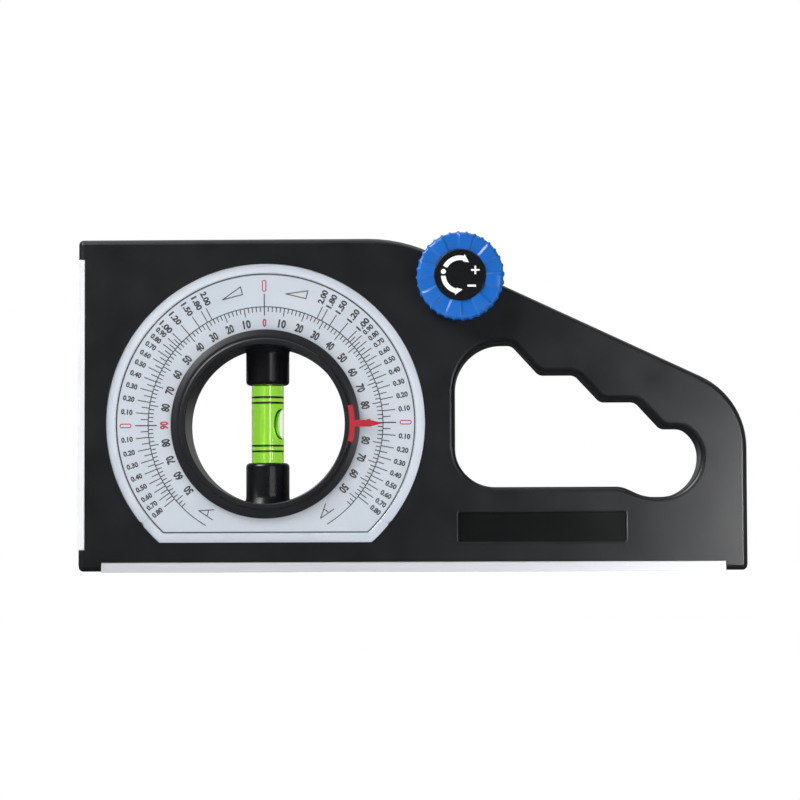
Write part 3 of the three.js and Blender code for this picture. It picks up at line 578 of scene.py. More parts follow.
def recess_cutter():
    """The recess, flared so that the bead round it falls off on its inside too."""
    return recess_stack("recess", [
        (0, -RECESS_DEPTH), (0, 0), (0.25 * BEAD_WIDTH, 0.7 * BEAD_HEIGHT),
        (0.5 * BEAD_WIDTH, BEAD_HEIGHT), (BEAD_WIDTH, OVERRUN),
    ])


def front_shell():
    """The front of the case: rounded edges, grip opening, dial seat and name recess."""
    shell = fuse(shell_block("front_shell", PARTING, FACE), recess_bead())
    cut(shell, hollow(), grip_cutter(PARTING, FACE), *strip_channels())
    cut(shell, *[around(node, STRIP_FIT) for node in MAGNET_NODES])
    cut(
        shell,
        dial_slab("seat", -DIAL_FIT, PLATE_BACK, FACE + OVERRUN),
        disc("bore", RING_TUBE + RING_FIT, PARTING - OVERRUN, FACE, dial_place, 160),
        recess_cutter(),
        disc("shaft_hole", SHAFT_HOLE, 0, FACE + OVERRUN, knob_place, 48),
        disc("pin_hole", PIN_HOLE, 0, PLATE_BACK - DIAL_FIT, idler_place, 48),
    )
    for node in SCREW_NODES:
        low, high = PARTING - OVERRUN, PARTING + SCREW_DEPTH
        cut(shell, disc("screw_hole", SCREW_HOLE, low, high, middle(node), 24))
    # The recess floor gets the darker plastic, which paints the recess's shade
    for polygon in shell.data.polygons:
        across = RECESS_LEFT < polygon.center.x < RECESS_LEFT + RECESS_LENGTH
        on_floor = abs(polygon.center.z - (FACE - RECESS_DEPTH)) < INK
        polygon.material_index = 1 if across and on_floor else 0
    smooth(shell, 40, weighted=True)
    hand_in(shell, case_corner, "case", "case_plastic", [case_abs, shaded_recess_abs], "front_housing")


def rear_shell():
    """The screwed-on rear cover, with its bearing collar, shaft bosses and screw seats."""
    shell = shell_block("rear_shell", PARTING, REAR)
    rooted = PARTING - OVERRUN
    bore_radius = RING_TUBE + RING_FIT
    fuse(
        shell,
        disc("collar", bore_radius + COLLAR_WALL, rooted, PARTING + COLLAR_HEIGHT, dial_place, 160),
        disc("pin_boss", SHAFT_BOSS, rooted, back_of("idler_gear") - RING_FIT, idler_place, 48),
        disc("shaft_boss", SHAFT_BOSS, rooted, back_of("drive_pinion") - RING_FIT, knob_place, 48),
    )
    mouth = bore_radius + COLLAR_CHAMFER
    bore = turned("bore", [
        (0, REAR - OVERRUN, 0), (mouth, REAR - OVERRUN, 0), (mouth, REAR, 0),
        (bore_radius, REAR + COLLAR_CHAMFER, 0), (bore_radius, FACE, 0), (0, FACE, 0),
    ])
    cut(
        shell, grip_cutter(PARTING, REAR), *strip_channels(), moved(bore, dial_place),
        disc("pin_hole", PIN_HOLE, PARTING, FACE, idler_place, 48),
        disc("shaft_hole", SHAFT_BEARING, back_of("drive_shaft") - RING_FIT, FACE, knob_place, 48),
    )
    for node in SCREW_NODES:
        cut(shell, disc("hole", SCREW_HOLE, REAR - OVERRUN, PARTING + OVERRUN, middle(node), 32),
            disc("seat", SCREW_SEAT, REAR - OVERRUN, REAR + SCREW_HEAD[1], middle(node), 48))
    smooth(shell, 40, weighted=True)
    hand_in(shell, case_corner, "case", "case_plastic", [case_abs], "rear_cover")


def metal_strips():
    """The measuring strips, with broken edges and pockets over the magnets."""
    # The side strip's paler aluminium is painted light on its edge
    for name, node, metal in (
        ("base_bar", "base_strip", strip_aluminium), ("side_bar", "side_strip", side_aluminium_painted_light),
    ):
        left, bottom, right, top = strip_box(node)
        bar = box(name, left, bottom, right - left, top - bottom, back_of(node), front_of(node))
        bevelled(bar, STRIP_BEVEL, 2)
        cut(bar, *[around(magnet, STRIP_FIT) for magnet in MAGNET_NODES])
        smooth(bar, 40, weighted=True)
        hand_in(bar, case_corner, "case", "strip_metal", [metal], node)


def case_screws():
    """Pan-head screws with a cross recess, modelled once and copied."""
    length = front_of(SCREW_NODES[0]) - back_of(SCREW_NODES[0])
    rim, seat = SCREW_HEAD
    screw = turned("case_screw", [
        (0, length, 0), (0.5, length, 0), (SCREW_SHANK, length - 1.2, 0.2), (SCREW_SHANK, seat, 0.1),
        (rim, seat, 0.1), (rim, 0.9, 0.5), (1.6, 0.12, 1.5), (0, 0.05, 0),
    ], 48)
    for reach, half in ((CROSS_REACH, CROSS_LINE / 2), (CROSS_LINE / 2, CROSS_REACH)):
        cut(screw, box("slot", -reach, -half, 2 * reach, 2 * half, -OVERRUN, CROSS_DEPTH))
    smooth(screw, 30)
    for index, node in enumerate(SCREW_NODES):
        copy = copied(screw)
        copy.name = f"cover_screw_{index + 1}"
        placed(copy, Matrix.Translation((*middle(node), back_of(node))) @ spin(0.7 * index))
        hand_in(copy, case_corner, "case", "steel", [zinc_steel], node)
    bpy.data.objects.remove(screw)


# Dial

def dial_bore(low, high):
    return disc("dial_bore", DIAL_BORE, low - OVERRUN, high + OVERRUN, dial_place, 180)


def silver_dial():
    """The plate with the scales, and the groove that shows as a line inside the cover's rim."""
    top = WINDOW_BACK - PLATE_DROP
    plate = dial_slab("silver_dial", DIAL_FIT, PLATE_BACK, top)
    groove = dial_slab("groove", GROOVE_PLACE, top - GROOVE_DEPTH, top + OVERRUN)
    cut(groove, dial_slab("land", GROOVE_PLACE + GROOVE_WIDTH, PLATE_BACK, top + 2 * OVERRUN))
    cut(plate, dial_bore(PLATE_BACK, top), groove)
    smooth(plate, 30)
    hand_in(plate, case_corner, "case", "dial_silver", [silver_film], "dial_plate")


def dial_cover():
    """The clear cover: a sloping rim, a fine step inside it, and a notch at each lower side."""
    edge = WINDOW_TOP - WINDOW_EDGE
    levels = [(0, WINDOW_BACK), (0, edge - 0.2), (0.06, edge - 0.06), (0.2, edge),
              (WINDOW_BEVEL - 0.2, WINDOW_TOP - 0.03), (WINDOW_BEVEL, WINDOW_TOP),
              (WINDOW_BEVEL + 0.15, WINDOW_TOP - 0.03), (WINDOW_BEVEL + 0.35, WINDOW_TOP - WINDOW_STEP)]
    cover = stacked("dial_cover", [(dial_outline(drawn_in), level) for drawn_in, level in levels])
    cut(cover, dial_bore(WINDOW_BACK, WINDOW_TOP))
    for angle in (-NOTCH_ANGLE, pi + NOTCH_ANGLE):
        place = face_place + DIAL_RADIUS * unit(angle)
        groove = box("groove", -WINDOW_BEVEL, -NOTCH_LINE / 2, WINDOW_BEVEL + OVERRUN, NOTCH_LINE,
                     edge - 0.3, WINDOW_TOP + OVERRUN)
        cut(cover, disc("notch", NOTCH_RADIUS, WINDOW_BACK - OVERRUN, WINDOW_TOP + OVERRUN, place, 32),
            moved(groove, place, angle))
    for polygon in cover.data.polygons:
        away = polygon.center.xy - face_place
        on_rim = away.length > DIAL_RADIUS - WINDOW_BEVEL or -away.y > DIAL_FLAT + DIAL_RISE - WINDOW_BEVEL
        polygon.material_index = 1 if on_rim and polygon.normal.z > 0.1 else 0
    smooth(cover, 50, weighted=True)
    hand_in(cover, case_corner, "case", "clear_plastic", [clear_cover, satin_rim], "dial_window")


# Printed scales. Angles are counted from the top of the dial, to the left.
SCALE_TURN = radians(0.5)
DIVIDING_RADIUS = 35.2
DIVIDING_END = radians(149)
LINE = 0.29
DEGREE_TICK = 1.5
TEN_TICK = 2.6
DEGREE_STEP = 2
LAST_DEGREE = 134
LAST_NUMERAL = 130
NUMERAL_RADIUS = 30.4
NUMERAL_SIZE = (2.35, 2.6)
RISE_TICK = 3.9
HALF_RISE_TICK = 2.3
RISE_RADIUS = 41.8
RISE_SIZE = (3.5, 1.65)
STEEP_SIZE = (4.3, 1.9)
RISE_STEP = 0.05
RISE_STEPS = (-16, 20)
STEEP_RISES = (1.0, 1.2, 1.5, 1.8, 2.0)
LAST_LABEL_SHIFT = radians(1.6)
ZERO_SIZE = (1.35, 3.6)
ZERO_LINE = 0.32
ZERO_PLACES = ((-pi / 2, 42.0), (0, 41.5), (pi / 2, 42.0))
BOLDNESS = 0.045
PRINT_LOW = WINDOW_BACK - PLATE_DROP + INK / 2


def printed(points):
    return slab("print", points, PRINT_LOW, PRINT_LOW + INK)


def on_dial(angle, radius):
    """The matrix that carries a mark to a place on the scale, its top outwards."""
    heading = pi / 2 + angle + SCALE_TURN
    place = dial_place + radius * unit(heading)
    return Matrix.Translation((*place, 0)) @ spin(heading - pi / 2)


def tick(angle, inner, outer, width=LINE):
    return placed(printed(rectangle(-width / 2, inner, width, outer - inner)), on_dial(angle, 0))


glyphs = {}


def new_glyph(text, width, height):
    """A word or number with its middle at the origin, stretched to a set size."""
    take()
    bpy.ops.object.text_add()
    word = bpy.context.object
    word.data.body = text
    word.data.resolution_u = 3
    word.data.extrude = INK / 2
    word.data.offset = BOLDNESS
    bpy.ops.object.convert(target="MESH")
    word = bpy.context.object
    tidy_normals(word)
    spans = []
    for axis in range(2):
        places = [vertex.co[axis] for vertex in word.data.vertices]
        spans.append((min(places), max(places)))
    stretch = [size / (high - low) for size, (low, high) in zip((width, height), spans)]
    shift = [-(low + high) / 2 * factor for factor, (low, high) in zip(stretch, spans)]
    place = Matrix.Translation((*shift, PRINT_LOW + INK / 2))
    return placed(word, place @ Matrix.Diagonal((*stretch, 1, 1)))


def glyph(text, width, height):
    if (text, width) not in glyphs:
        glyphs[text, width] = new_glyph(text, width, height)
    return copied(glyphs[text, width])


def zero_outline(drawn_in):
    """A tall outline with straight sides and round ends."""
    width, height = ZERO_SIZE[0] - 2 * drawn_in, ZERO_SIZE[1] - 2 * drawn_in
    return rectangle(-width / 2, -height / 2, width, height, width / 2 - INK)


def tall_zero():
    inner = slab("inner", zero_outline(ZERO_LINE), PRINT_LOW - OVERRUN, PRINT_LOW + OVERRUN)
    return cut(printed(zero_outline(0)), inner)


def degree_marks():
    black, red = [], []
    for degree in range(-LAST_DEGREE, LAST_DEGREE + 1, DEGREE_STEP):
        depth = TEN_TICK if degree % 10 == 0 else DEGREE_TICK
        black.append(tick(radians(degree), DIVIDING_RADIUS - depth, DIVIDING_RADIUS))
    for value in range(-LAST_NUMERAL, LAST_NUMERAL + 1, 10):
        shown = 90 - abs(90 - abs(value))
        width = NUMERAL_SIZE[0] if shown else NUMERAL_SIZE[0] / 2
        numeral = glyph(str(shown), width, NUMERAL_SIZE[1])
        placed(numeral, on_dial(radians(value), NUMERAL_RADIUS))
        (red if shown in (0, 90) else black).append(numeral)
    return black, red


def rise_label(rise, angle, side, size):
    """Rise numbers run along the radius and read from the left on both sides."""
    return placed(glyph(f"{rise:.2f}", *size), on_dial(angle, RISE_RADIUS) @ spin(side * -pi / 2))


def rise_marks():
    """The outer scale: the rise for each unit of run, from the level line on both sides."""
    marks = []
    for side in (-1, 1):
        for step in range(*RISE_STEPS):
            depth = HALF_RISE_TICK if step % 2 else RISE_TICK
            angle = side * (pi / 2 - atan(RISE_STEP * step))
            marks.append(tick(angle, DIVIDING_RADIUS, DIVIDING_RADIUS + depth))
            if step % 2 == 0 and step != 0:
                marks.append(rise_label(RISE_STEP * abs(step), angle, side, RISE_SIZE))
        for rise in STEEP_RISES:
            angle = side * (pi / 2 - atan(rise))
            marks.append(tick(angle, DIVIDING_RADIUS, DIVIDING_RADIUS + RISE_TICK))
            shift = side * LAST_LABEL_SHIFT if rise == STEEP_RISES[-1] else 0
            marks.append(rise_label(rise, angle - shift, side, STEEP_SIZE))
    return marks


def zero_marks():
    black, red = [], []
    for angle, radius in ZERO_PLACES:
        black.append(tick(angle, DIVIDING_RADIUS - TEN_TICK, DIVIDING_RADIUS + RISE_TICK, 1.2 * LINE))
        red.append(placed(tall_zero(), on_dial(angle, radius)))
    return black, red


def stroke(start, end, width=0.3):
    """A straight printed stroke between two points."""
    way = Vector(end) - Vector(start)
    bar = printed(rectangle(-width / 2, -width / 2, way.length + width, width, width / 2 - INK))
    return moved(bar, start, atan2(way.y, way.x))


def slope_sign():
    """A small right-angled slope, for the rise scale."""
    corners = [(-3.1, -1.2), (3.1, -1.2), (3.1, 1.2)]
    return [stroke(corners[index - 1], corners[index]) for index in range(3)]


def angle_sign():
    """Two legs and a bow, for the degree scale."""
    point = (-2.4, -1.2)
    bow = printed(arc(3.0, 0.06, 0.62, 8, point) + arc(2.72, 0.62, 0.06, 8, point))
    return [stroke(point, (2.4, -1.2)), stroke(point, (1.2, 1.5)), bow]


def dial_signs():
    marks = []
    for side in (-1, 1):
        slope_place = on_dial(side * radians(14), 40.6)
        angle_place = on_dial(side * radians(146), 31.4) @ spin(pi)
        marks += [placed(mark, slope_place) for mark in slope_sign()]
        marks += [placed(mark, angle_place) for mark in angle_sign()]
    return marks


def dividing_circle():
    start = pi / 2 - DIVIDING_END + SCALE_TURN
    end = pi / 2 + DIVIDING_END + SCALE_TURN
    outer = arc(DIVIDING_RADIUS + LINE / 2, start, end, 180, dial_place)
    inner = arc(DIVIDING_RADIUS - LINE / 2, end, start, 180, dial_place)
    return printed(outer + inner)


def dial_print():
    black, red = degree_marks()
    zero_black, zero_red = zero_marks()
    black += zero_black + rise_marks() + dial_signs() + [dividing_circle()]
    for word in glyphs.values():
        bpy.data.objects.remove(word)
    hand_in(together("dial_print_black", black), case_corner, "case", "dial_silver", [black_ink])
    hand_in(together("dial_print_red", red + zero_red), case_corner, "case", "dial_silver", [red_ink])


# Turning ring
POINTER_INNER = 25.3
POINTER_HEAD = 1.6
POINTER_SPREAD = 0.213
POINTER_ARM = 1.0
POINTER_NECK = 31.4
POINTER_TIP = 35.3
POINTER_THICKNESS = 0.7
VIAL_RING_PLACES = (-8.16, -6.48, 6.48, 8.16)
VIAL_RING_WIDTH = 0.34
BUBBLE_OFFSET = 3.15
BUBBLE_RADII = (2.0, 2.3, 4.65)


def upright_disc(name, radius, low, high):
    """A round bar along the bench's y."""
    bar = disc(name, radius, min(low, high), max(low, high), steps=64)
    return placed(bar, spin(-pi / 2, "X"))


def turning_ring():
    flange_back = BAND_FACE - FLANGE_THICKNESS
    ring = turned("turning_ring", [
        (RING_BORE, RING_REAR, 0.4), (RING_TUBE, RING_REAR, 0.3), (RING_TUBE, flange_back, 0.1),
        (RING_FLANGE, flange_back, 0.15), (RING_FLANGE, BAND_FACE - BAND_FALL, 0.2),
        (RING_FLANGE - BAND_SLOPE, BAND_FACE, 0.25), (RING_STEP, BAND_FACE, 0.12),
        (RING_STEP, RING_FRONT, 0.6), (RING_BORE, RING_FRONT, 0.45),
    ], 200)
    rebate = arc(POINTER_INNER - 0.03, -POINTER_SPREAD, POINTER_SPREAD, 24)
    rebate += arc(RING_STEP + 0.4, POINTER_SPREAD, -POINTER_SPREAD, 24)
    cut(ring, slab("rebate", rebate, BAND_FACE, RING_FRONT + OVERRUN),
        *[upright_disc("socket", SPIGOT_RADIUS + 0.1, side * 15, side * 27) for side in (-1, 1)])
    smooth(ring, 50)
    # The ring's greyer plastic paints light on its band and inner wall
    hand_in(ring, ring_centre, "rotor", "ring_plastic", [ring_painted_light_satin], "rotor_ring")


def vial_cup(side, name, node):
    """A cup that grips one end of the vial, flared where it meets the ring."""
    mouth = CUP_MOUTH + side * VIAL_RAISE
    floor_level = VIAL_HALF + side * VIAL_RAISE + 0.1
    root = RING_BORE + 0.1
    inside = VIAL_RADIUS + 0.1
    cup = turned(name, [
        (inside, mouth, 0.25), (CUP_RADIUS, mouth, 1.2), (CUP_RADIUS, root - 2.2, 3.0),
        (CUP_RADIUS + 0.8, root + 1.2, 0), (SPIGOT_RADIUS, root + 1.2, 0), (SPIGOT_RADIUS, SPIGOT_END, 0),
        (0, SPIGOT_END, 0), (0, floor_level, 0), (inside, floor_level, 0),
    ], 96)
    placed(cup, spin(-side * pi / 2, "X"))
    seat = disc("seat", root, -12, 12, steps=200)
    fuse(seat, upright_disc("spigot", SPIGOT_RADIUS, side * 12, side * (SPIGOT_END + OVERRUN)))
    combine(cup, "INTERSECT", [seat])
    smooth(cup, 40)
    hand_in(cup, ring_centre, "rotor", "ring_plastic", [ring_abs], node)


def vial():
    """The acrylic tube, its green liquid with the bubble's pocket, and the four rings on it."""
    tube = turned("vial_glass", [
        (VIAL_BORE, -VIAL_HALF, 0), (VIAL_RADIUS, -VIAL_HALF, 0.2), (VIAL_RADIUS, VIAL_HALF, 0.2),
        (VIAL_BORE, VIAL_HALF, 0),
    ], 96)
    column = VIAL_BORE + 0.005
    end = VIAL_HALF - PLUG_LENGTH
    liquid = turned("vial_liquid", [(0, -end, 0), (column, -end, 0), (column, end, 0), (0, end, 0)], 96)
    round_side = [(*point, 0) for point in arc(1, -pi / 2, pi / 2, 24)[1:-1]]
    bubble = turned("bubble", [(0, -1, 0), *round_side, (0, 1, 0)], 48)
    place = Matrix.Translation((BUBBLE_OFFSET, 0, 0))
    cut(liquid, placed(bubble, place @ Matrix.Diagonal((*BUBBLE_RADII, 1))))
    inner, outer = VIAL_RADIUS + 0.004, VIAL_RADIUS + 0.03
    half = VIAL_RING_WIDTH / 2
    rings = [
        turned("vial_ring", [(inner, y - half, 0), (outer, y - half, 0), (outer, y + half, 0),
                             (inner, y + half, 0)], 96)
        for y in VIAL_RING_PLACES
    ]
    upright = Matrix.Translation((0, VIAL_RAISE, 0)) @ spin(-pi / 2, "X")
    for piece, slot, material, nodes in (
        (tube, "vial_acrylic", vial_acrylic, ["vial_tube"]),
        (liquid, "vial_fluid", green_liquid, ["vial_fluid"]),
        (together("vial_rings", rings), "ring_plastic", black_ink, []),
    ):
        smooth(piece, 40)
        placed(piece, upright)
        hand_in(piece, ring_centre, "rotor", slot, [material], *nodes)


def red_pointer():
    outer = POINTER_INNER + POINTER_HEAD
    root = asin(POINTER_ARM / outer)
    points = [
        *arc(POINTER_INNER, POINTER_SPREAD, -POINTER_SPREAD, 24), *arc(outer, -POINTER_SPREAD, -root, 12),
        Vector((POINTER_NECK, -POINTER_ARM)), Vector((POINTER_TIP, 0)), Vector((POINTER_NECK, POINTER_ARM)),
        *arc(outer, root, POINTER_SPREAD, 12),
    ]
    hand = slab("red_pointer", points, BAND_FACE, BAND_FACE + POINTER_THICKNESS)
    bevelled(hand, 0.16, 3)
    smooth(hand, 50, weighted=True)
    hand_in(hand, ring_centre, "rotor", "red_plastic", [red_acrylic], "pointer")


# Knob
RIBS = 32
RIB_STEPS = 12
RIB_HEIGHT = 0.35
RIB_SHARE = 0.42
LANDS = 8
LAND_DROP = 0.45
LAND_SLOPE = 0.09
FACE_RADIUS = 11.7
FACE_RISE = 0.6
SHOULDER = 1.3
KNOB_STEPS = RIB_STEPS * RIBS
KNOB_TURN = radians(2.5)


def rib(step):
    """How far the ribbed wall stands out at a step, from 0 to 1."""
    share = (step / RIB_STEPS) % 1
    away = min(share, 1 - share) / (RIB_SHARE / 2)
    return cos(away * pi / 2) if away < 1 else 0.0


def land(step):
    """1 on the eight raised lands of the knob's face, 0 between them, with a slope at each side."""
    from_middle = abs((step * LANDS / KNOB_STEPS + 0.75) % 1 - 0.5)
    return min(1.0, max(0.0, 0.5 + (0.25 - from_middle) / LAND_SLOPE))


def knob_ring(radius, rib_share, level, drop_share):
    points = []
    for step in range(KNOB_STEPS):
        angle = KNOB_TURN + FULL_TURN * step / KNOB_STEPS
        place = (radius + RIB_HEIGHT * rib_share * rib(step)) * unit(angle)
        points.append((*place, level - LAND_DROP * drop_share * (1 - land(step))))
    return points


def knob_grip():
    """The ribbed blue knob, with eight raised lands on its face and the seat of its cap."""
    root = KNOB_RADIUS - RIB_HEIGHT
    face_edge = KNOB_TOP - FACE_RISE
    rings = [knob_ring(root - 0.5, 0.6, KNOB_FOOT, 0), knob_ring(root, 1, KNOB_FOOT + 0.4, 0),
             knob_ring(root, 1, face_edge - SHOULDER, 0)]
    for drawn_in, risen in quarter(5):
        radius = root - (root - FACE_RADIUS) * drawn_in
        rings.append(knob_ring(radius, 1 - drawn_in, face_edge - SHOULDER * (1 - risen), drawn_in))
    rings += [knob_ring(CAP_RADIUS + 0.4, 0, KNOB_TOP, 1),
              knob_ring(CAP_RADIUS + CAP_FIT, 0, KNOB_TOP - CAP_FIT, 1),
              knob_ring(CAP_RADIUS + CAP_FIT, 0, CAP_SEAT, 0)]
    knob = lofted("knob_grip", rings)
    cut(knob, disc("bore", KNOB_BORE, KNOB_FOOT - OVERRUN, CAP_SEAT + OVERRUN),
        disc("head_room", HEAD_ROOM[0], CAP_SEAT - HEAD_ROOM[1], CAP_SEAT + OVERRUN))
    smooth(knob, 50)
    hand_in(knob, knob_centre, "knob", "blue_plastic", [blue_abs], "knob_body")


def knob_disc():
    """The black cap in the knob's seat; its marks lie on it."""
    top = CAP_TOP - 2 * INK
    cap = turned("knob_disc", [
        (0, CAP_SEAT, 0), (CAP_RADIUS, CAP_SEAT, 0.1), (CAP_RADIUS, top, 0.25), (0, top, 0),
    ], 128)
    smooth(cap, 40, weighted=True)
    hand_in(cap, knob_centre, "knob", "ring_plastic", [ring_abs], "knob_cap")


MARK_RADIUS = 5.0
MARK_LINE = 1.35
ARROW_TIP_RADIUS = 4.45
ARROW_TIP_TURN = 0.42


def curved_arrow(start, end, way):
    """A bowed arrow: its stroke, then its head."""
    outer, inner = MARK_RADIUS + MARK_LINE / 2, MARK_RADIUS - MARK_LINE / 2
    tip = ARROW_TIP_RADIUS * unit(end + way * ARROW_TIP_TURN)
    head = [(MARK_RADIUS + 1.25) * unit(end), tip, (MARK_RADIUS - 0.95) * unit(end)]
    return [*arc(outer, start, end, 24), *head, *arc(inner, end, start, 24)]


def plus_sign(reach, line, centre):
    half = line / 2
    points = []
    for turn in range(4):
        quarter_turns = Matrix.Rotation(turn * pi / 2, 2)
        for point in ((half, half), (half, reach), (-half, reach)):
            points.append(Vector(centre) + quarter_turns @ Vector(point))
    return points


def knob_marks():
    shapes = [
        curved_arrow(radians(152), radians(78), -1),
        curved_arrow(radians(184), radians(255), 1),
        circle(0.74, 32, (-4.95, 0.95)),
        plus_sign(1.25, 0.5, (4.5, 1.35)),
        rectangle(2.15, -3.6, 2.5, 0.6),
    ]
    marks = together("knob_marks", [slab("mark", shape, CAP_TOP - 1.5 * INK, CAP_TOP) for shape in shapes])
    hand_in(marks, knob_centre, "knob", "ring_plastic", [white_ink])


# Finishes

def srgb(code):
    """A hex colour as linear red, green, blue and alpha."""
    parts = [int(code[index:index + 2], 16) / 255 for index in (1, 3, 5)]
    return tuple(p / 12.92 if p <= 0.04045 else ((p + 0.055) / 1.055) ** 2.4 for p in parts) + (1.0,)


def add_node(tree, kind, values=None, links=None, **settings):
    """Adds a shader node with its settings, its socket values and the sockets that feed it."""
    node = tree.nodes.new("ShaderNode" + kind)
    for name, value in settings.items():
        setattr(node, name, value)
    for socket, value in (values or {}).items():
        node.inputs[socket].default_value = value
    for socket, source in (links or {}).items():
        tree.links.new(source, node.inputs[socket])
    return node


# Places of the colour sockets on a Mix node, which shares their names with other sockets
FIRST_COLOR, SECOND_COLOR, COLOR_RESULT = 6, 7, 2


def new_finish(name, color, **sockets):
    material = bpy.data.materials.new(name)
    material.use_nodes = True
    shader = material.node_tree.nodes["Principled BSDF"]
    shader.inputs["Base Color"].default_value = srgb(color)
    for socket, value in sockets.items():
        shader.inputs[socket.replace("_", " ")].default_value = value
    return material, material.node_tree, shader


def pattern(tree, size, detail=2.0, scale=(1, 1, 1)):
    """A cloudy pattern on the object, with spots of a size in millimetres."""
    coordinates = add_node(tree, "TexCoord")
    place = add_node(tree, "Mapping", {"Scale": [value / MM for value in scale]},
                     {"Vector": coordinates.outputs["Object"]})
    noise = add_node(tree, "TexNoise", {"Scale": 1 / size, "Detail": detail},
                     {"Vector": place.outputs["Vector"]})
    return noise.outputs["Fac"]


def relief(tree, shader, source, height):
    """Raises the surface by a pattern, by a height in millimetres."""
    bump = add_node(tree, "Bump", {"Strength": 1.0, "Distance": height * MM}, {"Height": source})
    tree.links.new(bump.outputs["Normal"], shader.inputs["Normal"])


def ramp(tree, source, start, end, low, high):
    """Runs from low to high while the source goes from start to end."""
    values = {"From Min": start, "From Max": end, "To Min": low, "To Max": high}
    return add_node(tree, "MapRange", values, {"Value": source}).outputs["Result"]


def varied(tree, shader, socket, source, low, high):
    """Feeds a number socket with a pattern that runs between two values."""
    tree.links.new(ramp(tree, source, 0.3, 0.7, low, high), shader.inputs[socket])


def tinted(tree, shader, source, colors):
    """Lets the colour drift between two hex colours."""
    mix = add_node(tree, "Mix", {FIRST_COLOR: srgb(colors[0]), SECOND_COLOR: srgb(colors[1])},
                   {"Factor": source}, data_type="RGBA")
    tree.links.new(mix.outputs[COLOR_RESULT], shader.inputs["Base Color"])


def moulded_plastic(name, colors, roughness, grain_height, grain_size=0.35, drift=0.02):
    """Injection-moulded plastic: a fine grain from the tool, and a slightly cloudy sheen."""
    material, tree, shader = new_finish(name, colors[0], Roughness=roughness, IOR=1.53)
    relief(tree, shader, pattern(tree, grain_size), grain_height)
    cloud = pattern(tree, 12, 4.0)
    varied(tree, shader, "Roughness", cloud, roughness - drift, roughness + drift)
    tinted(tree, shader, cloud, colors)
    return material


def brushed_metal(name, colors, roughness, along):
    """Metal brushed along one axis: fine lines that draw the highlight out across them. The metallic
    share is low, so that the pale metal still catches soft light where nothing bright is mirrored."""
    material, tree, shader = new_finish(name, colors[0], Metallic=0.3, Roughness=roughness)
    lines = pattern(tree, 0.3, 3.0, [0.02 if axis == along else 1.0 for axis in "xyz"])
    relief(tree, shader, lines, 0.003)
    varied(tree, shader, "Roughness", lines, roughness - 0.08, roughness + 0.1)
    tinted(tree, shader, lines, colors)
    return material


def printing_ink(name, color):
    """Screen-printed ink: nearly even, with the faint unevenness of a pressed film."""
    material, tree, shader = new_finish(name, color, Roughness=0.5)
    varied(tree, shader, "Roughness", pattern(tree, 0.4), 0.42, 0.58)
    return material


def clear_plastic(name, colors, ior, roughness=0.02):
    """Clear moulded plastic: polished, with the faintest flow ripples of the moulding."""
    material, tree, shader = new_finish(
        name, colors[0], Roughness=roughness, IOR=ior, Transmission_Weight=1.0)
    relief(tree, shader, pattern(tree, 9, 1.0), 0.004)
    tinted(tree, shader, pattern(tree, 15), colors)
    return material


# Black ABS from a spark-eroded mould: a satin black that is never quite even
case_abs = moulded_plastic("spark_eroded_black_abs", ("#111316", "#17191c"), 0.35, 0.016, 0.5, 0.05)
# The recess comes from a polished patch of the mould, which makes it look wetter; its darker colour is
# painted shade that makes it look deeper
shaded_recess_abs = moulded_plastic("polished_recess_abs_painted_shade", ("#08090a", "#0c0d0e"), 0.25, 0.002)
# The same plastic from a smoother tool: deep black, with a clear soft highlight on every round
ring_abs = moulded_plastic("half_gloss_black_abs", ("#0d0e11", "#131417"), 0.27, 0.003)
# The turning ring's plastic, satin and a shade greyer: the greyer colour is painted light on its rounds and
# its inner wall
ring_painted_light_satin = moulded_plastic("satin_ring_abs_painted_light", ("#1b1c20", "#212226"), 0.32, 0.006)
# Blue ABS, smooth from the mould: bright, even blue with soft highlights on its ribs and edges
blue_abs = moulded_plastic("half_gloss_blue_abs", ("#145cae", "#1962b6"), 0.24, 0.003)
# Dyed acrylic cut from sheet: a clean matt-edged red with a sharp small shine
red_acrylic = moulded_plastic("red_acrylic", ("#a0262f", "#aa2e37"), 0.22, 0.002, 2.0)
# Undyed nylon: waxy off-white without a real shine
gear_nylon = moulded_plastic("natural_nylon", ("#dcdcd0", "#e6e6dc"), 0.5, 0.004)
# Pressed rubber: dull, dry black
nitrile_rubber = moulded_plastic("nitrile_rubber", ("#101010", "#161616"), 0.8, 0.01)
# Ground ceramic magnet: dark grey, grainy and nearly matt
ferrite = moulded_plastic("ground_ferrite", ("#3a3b3e", "#4a4b4e"), 0.55, 0.01, 0.2)
# Extruded aluminium, brushed along its length: pale grey with a long soft sheen
strip_aluminium = brushed_metal("brushed_aluminium", ("#c4c6ca", "#d1d2d6"), 0.5, "x")
# The same, brushed upright, in a paler colour that is painted light: it paints the light falling on its
# edge, so it looks nearly white
side_aluminium_painted_light = brushed_metal("upright_brushed_aluminium_painted_light", ("#e4e6e9", "#f0f2f4"), 0.5, "z")
# Zinc-plated steel as it comes from the lathe: brighter and tighter highlights than aluminium
zinc_steel = brushed_metal("zinc_plated_steel", ("#b2b6ba", "#c4c8cc"), 0.3, "y")
# Silver-grey printed film: cool, even and satin, so the scale stays easy to read
silver_film = moulded_plastic("silver_printed_film", ("#dbe2ea", "#e2e8f0"), 0.42, 0.003, 0.6)
# Inks: flat strokes that stand out from the satin film by colour alone
black_ink = printing_ink("black_printing_ink", "#14161a")
red_ink = printing_ink("red_printing_ink", "#c22a4a")
white_ink = printing_ink("white_printing_ink", "#f4f4f4")
# Polished polystyrene: nearly invisible over the dial, seen by its reflections
clear_cover = clear_plastic("clear_polystyrene", ("#f8fafc", "#ffffff"), 1.59)
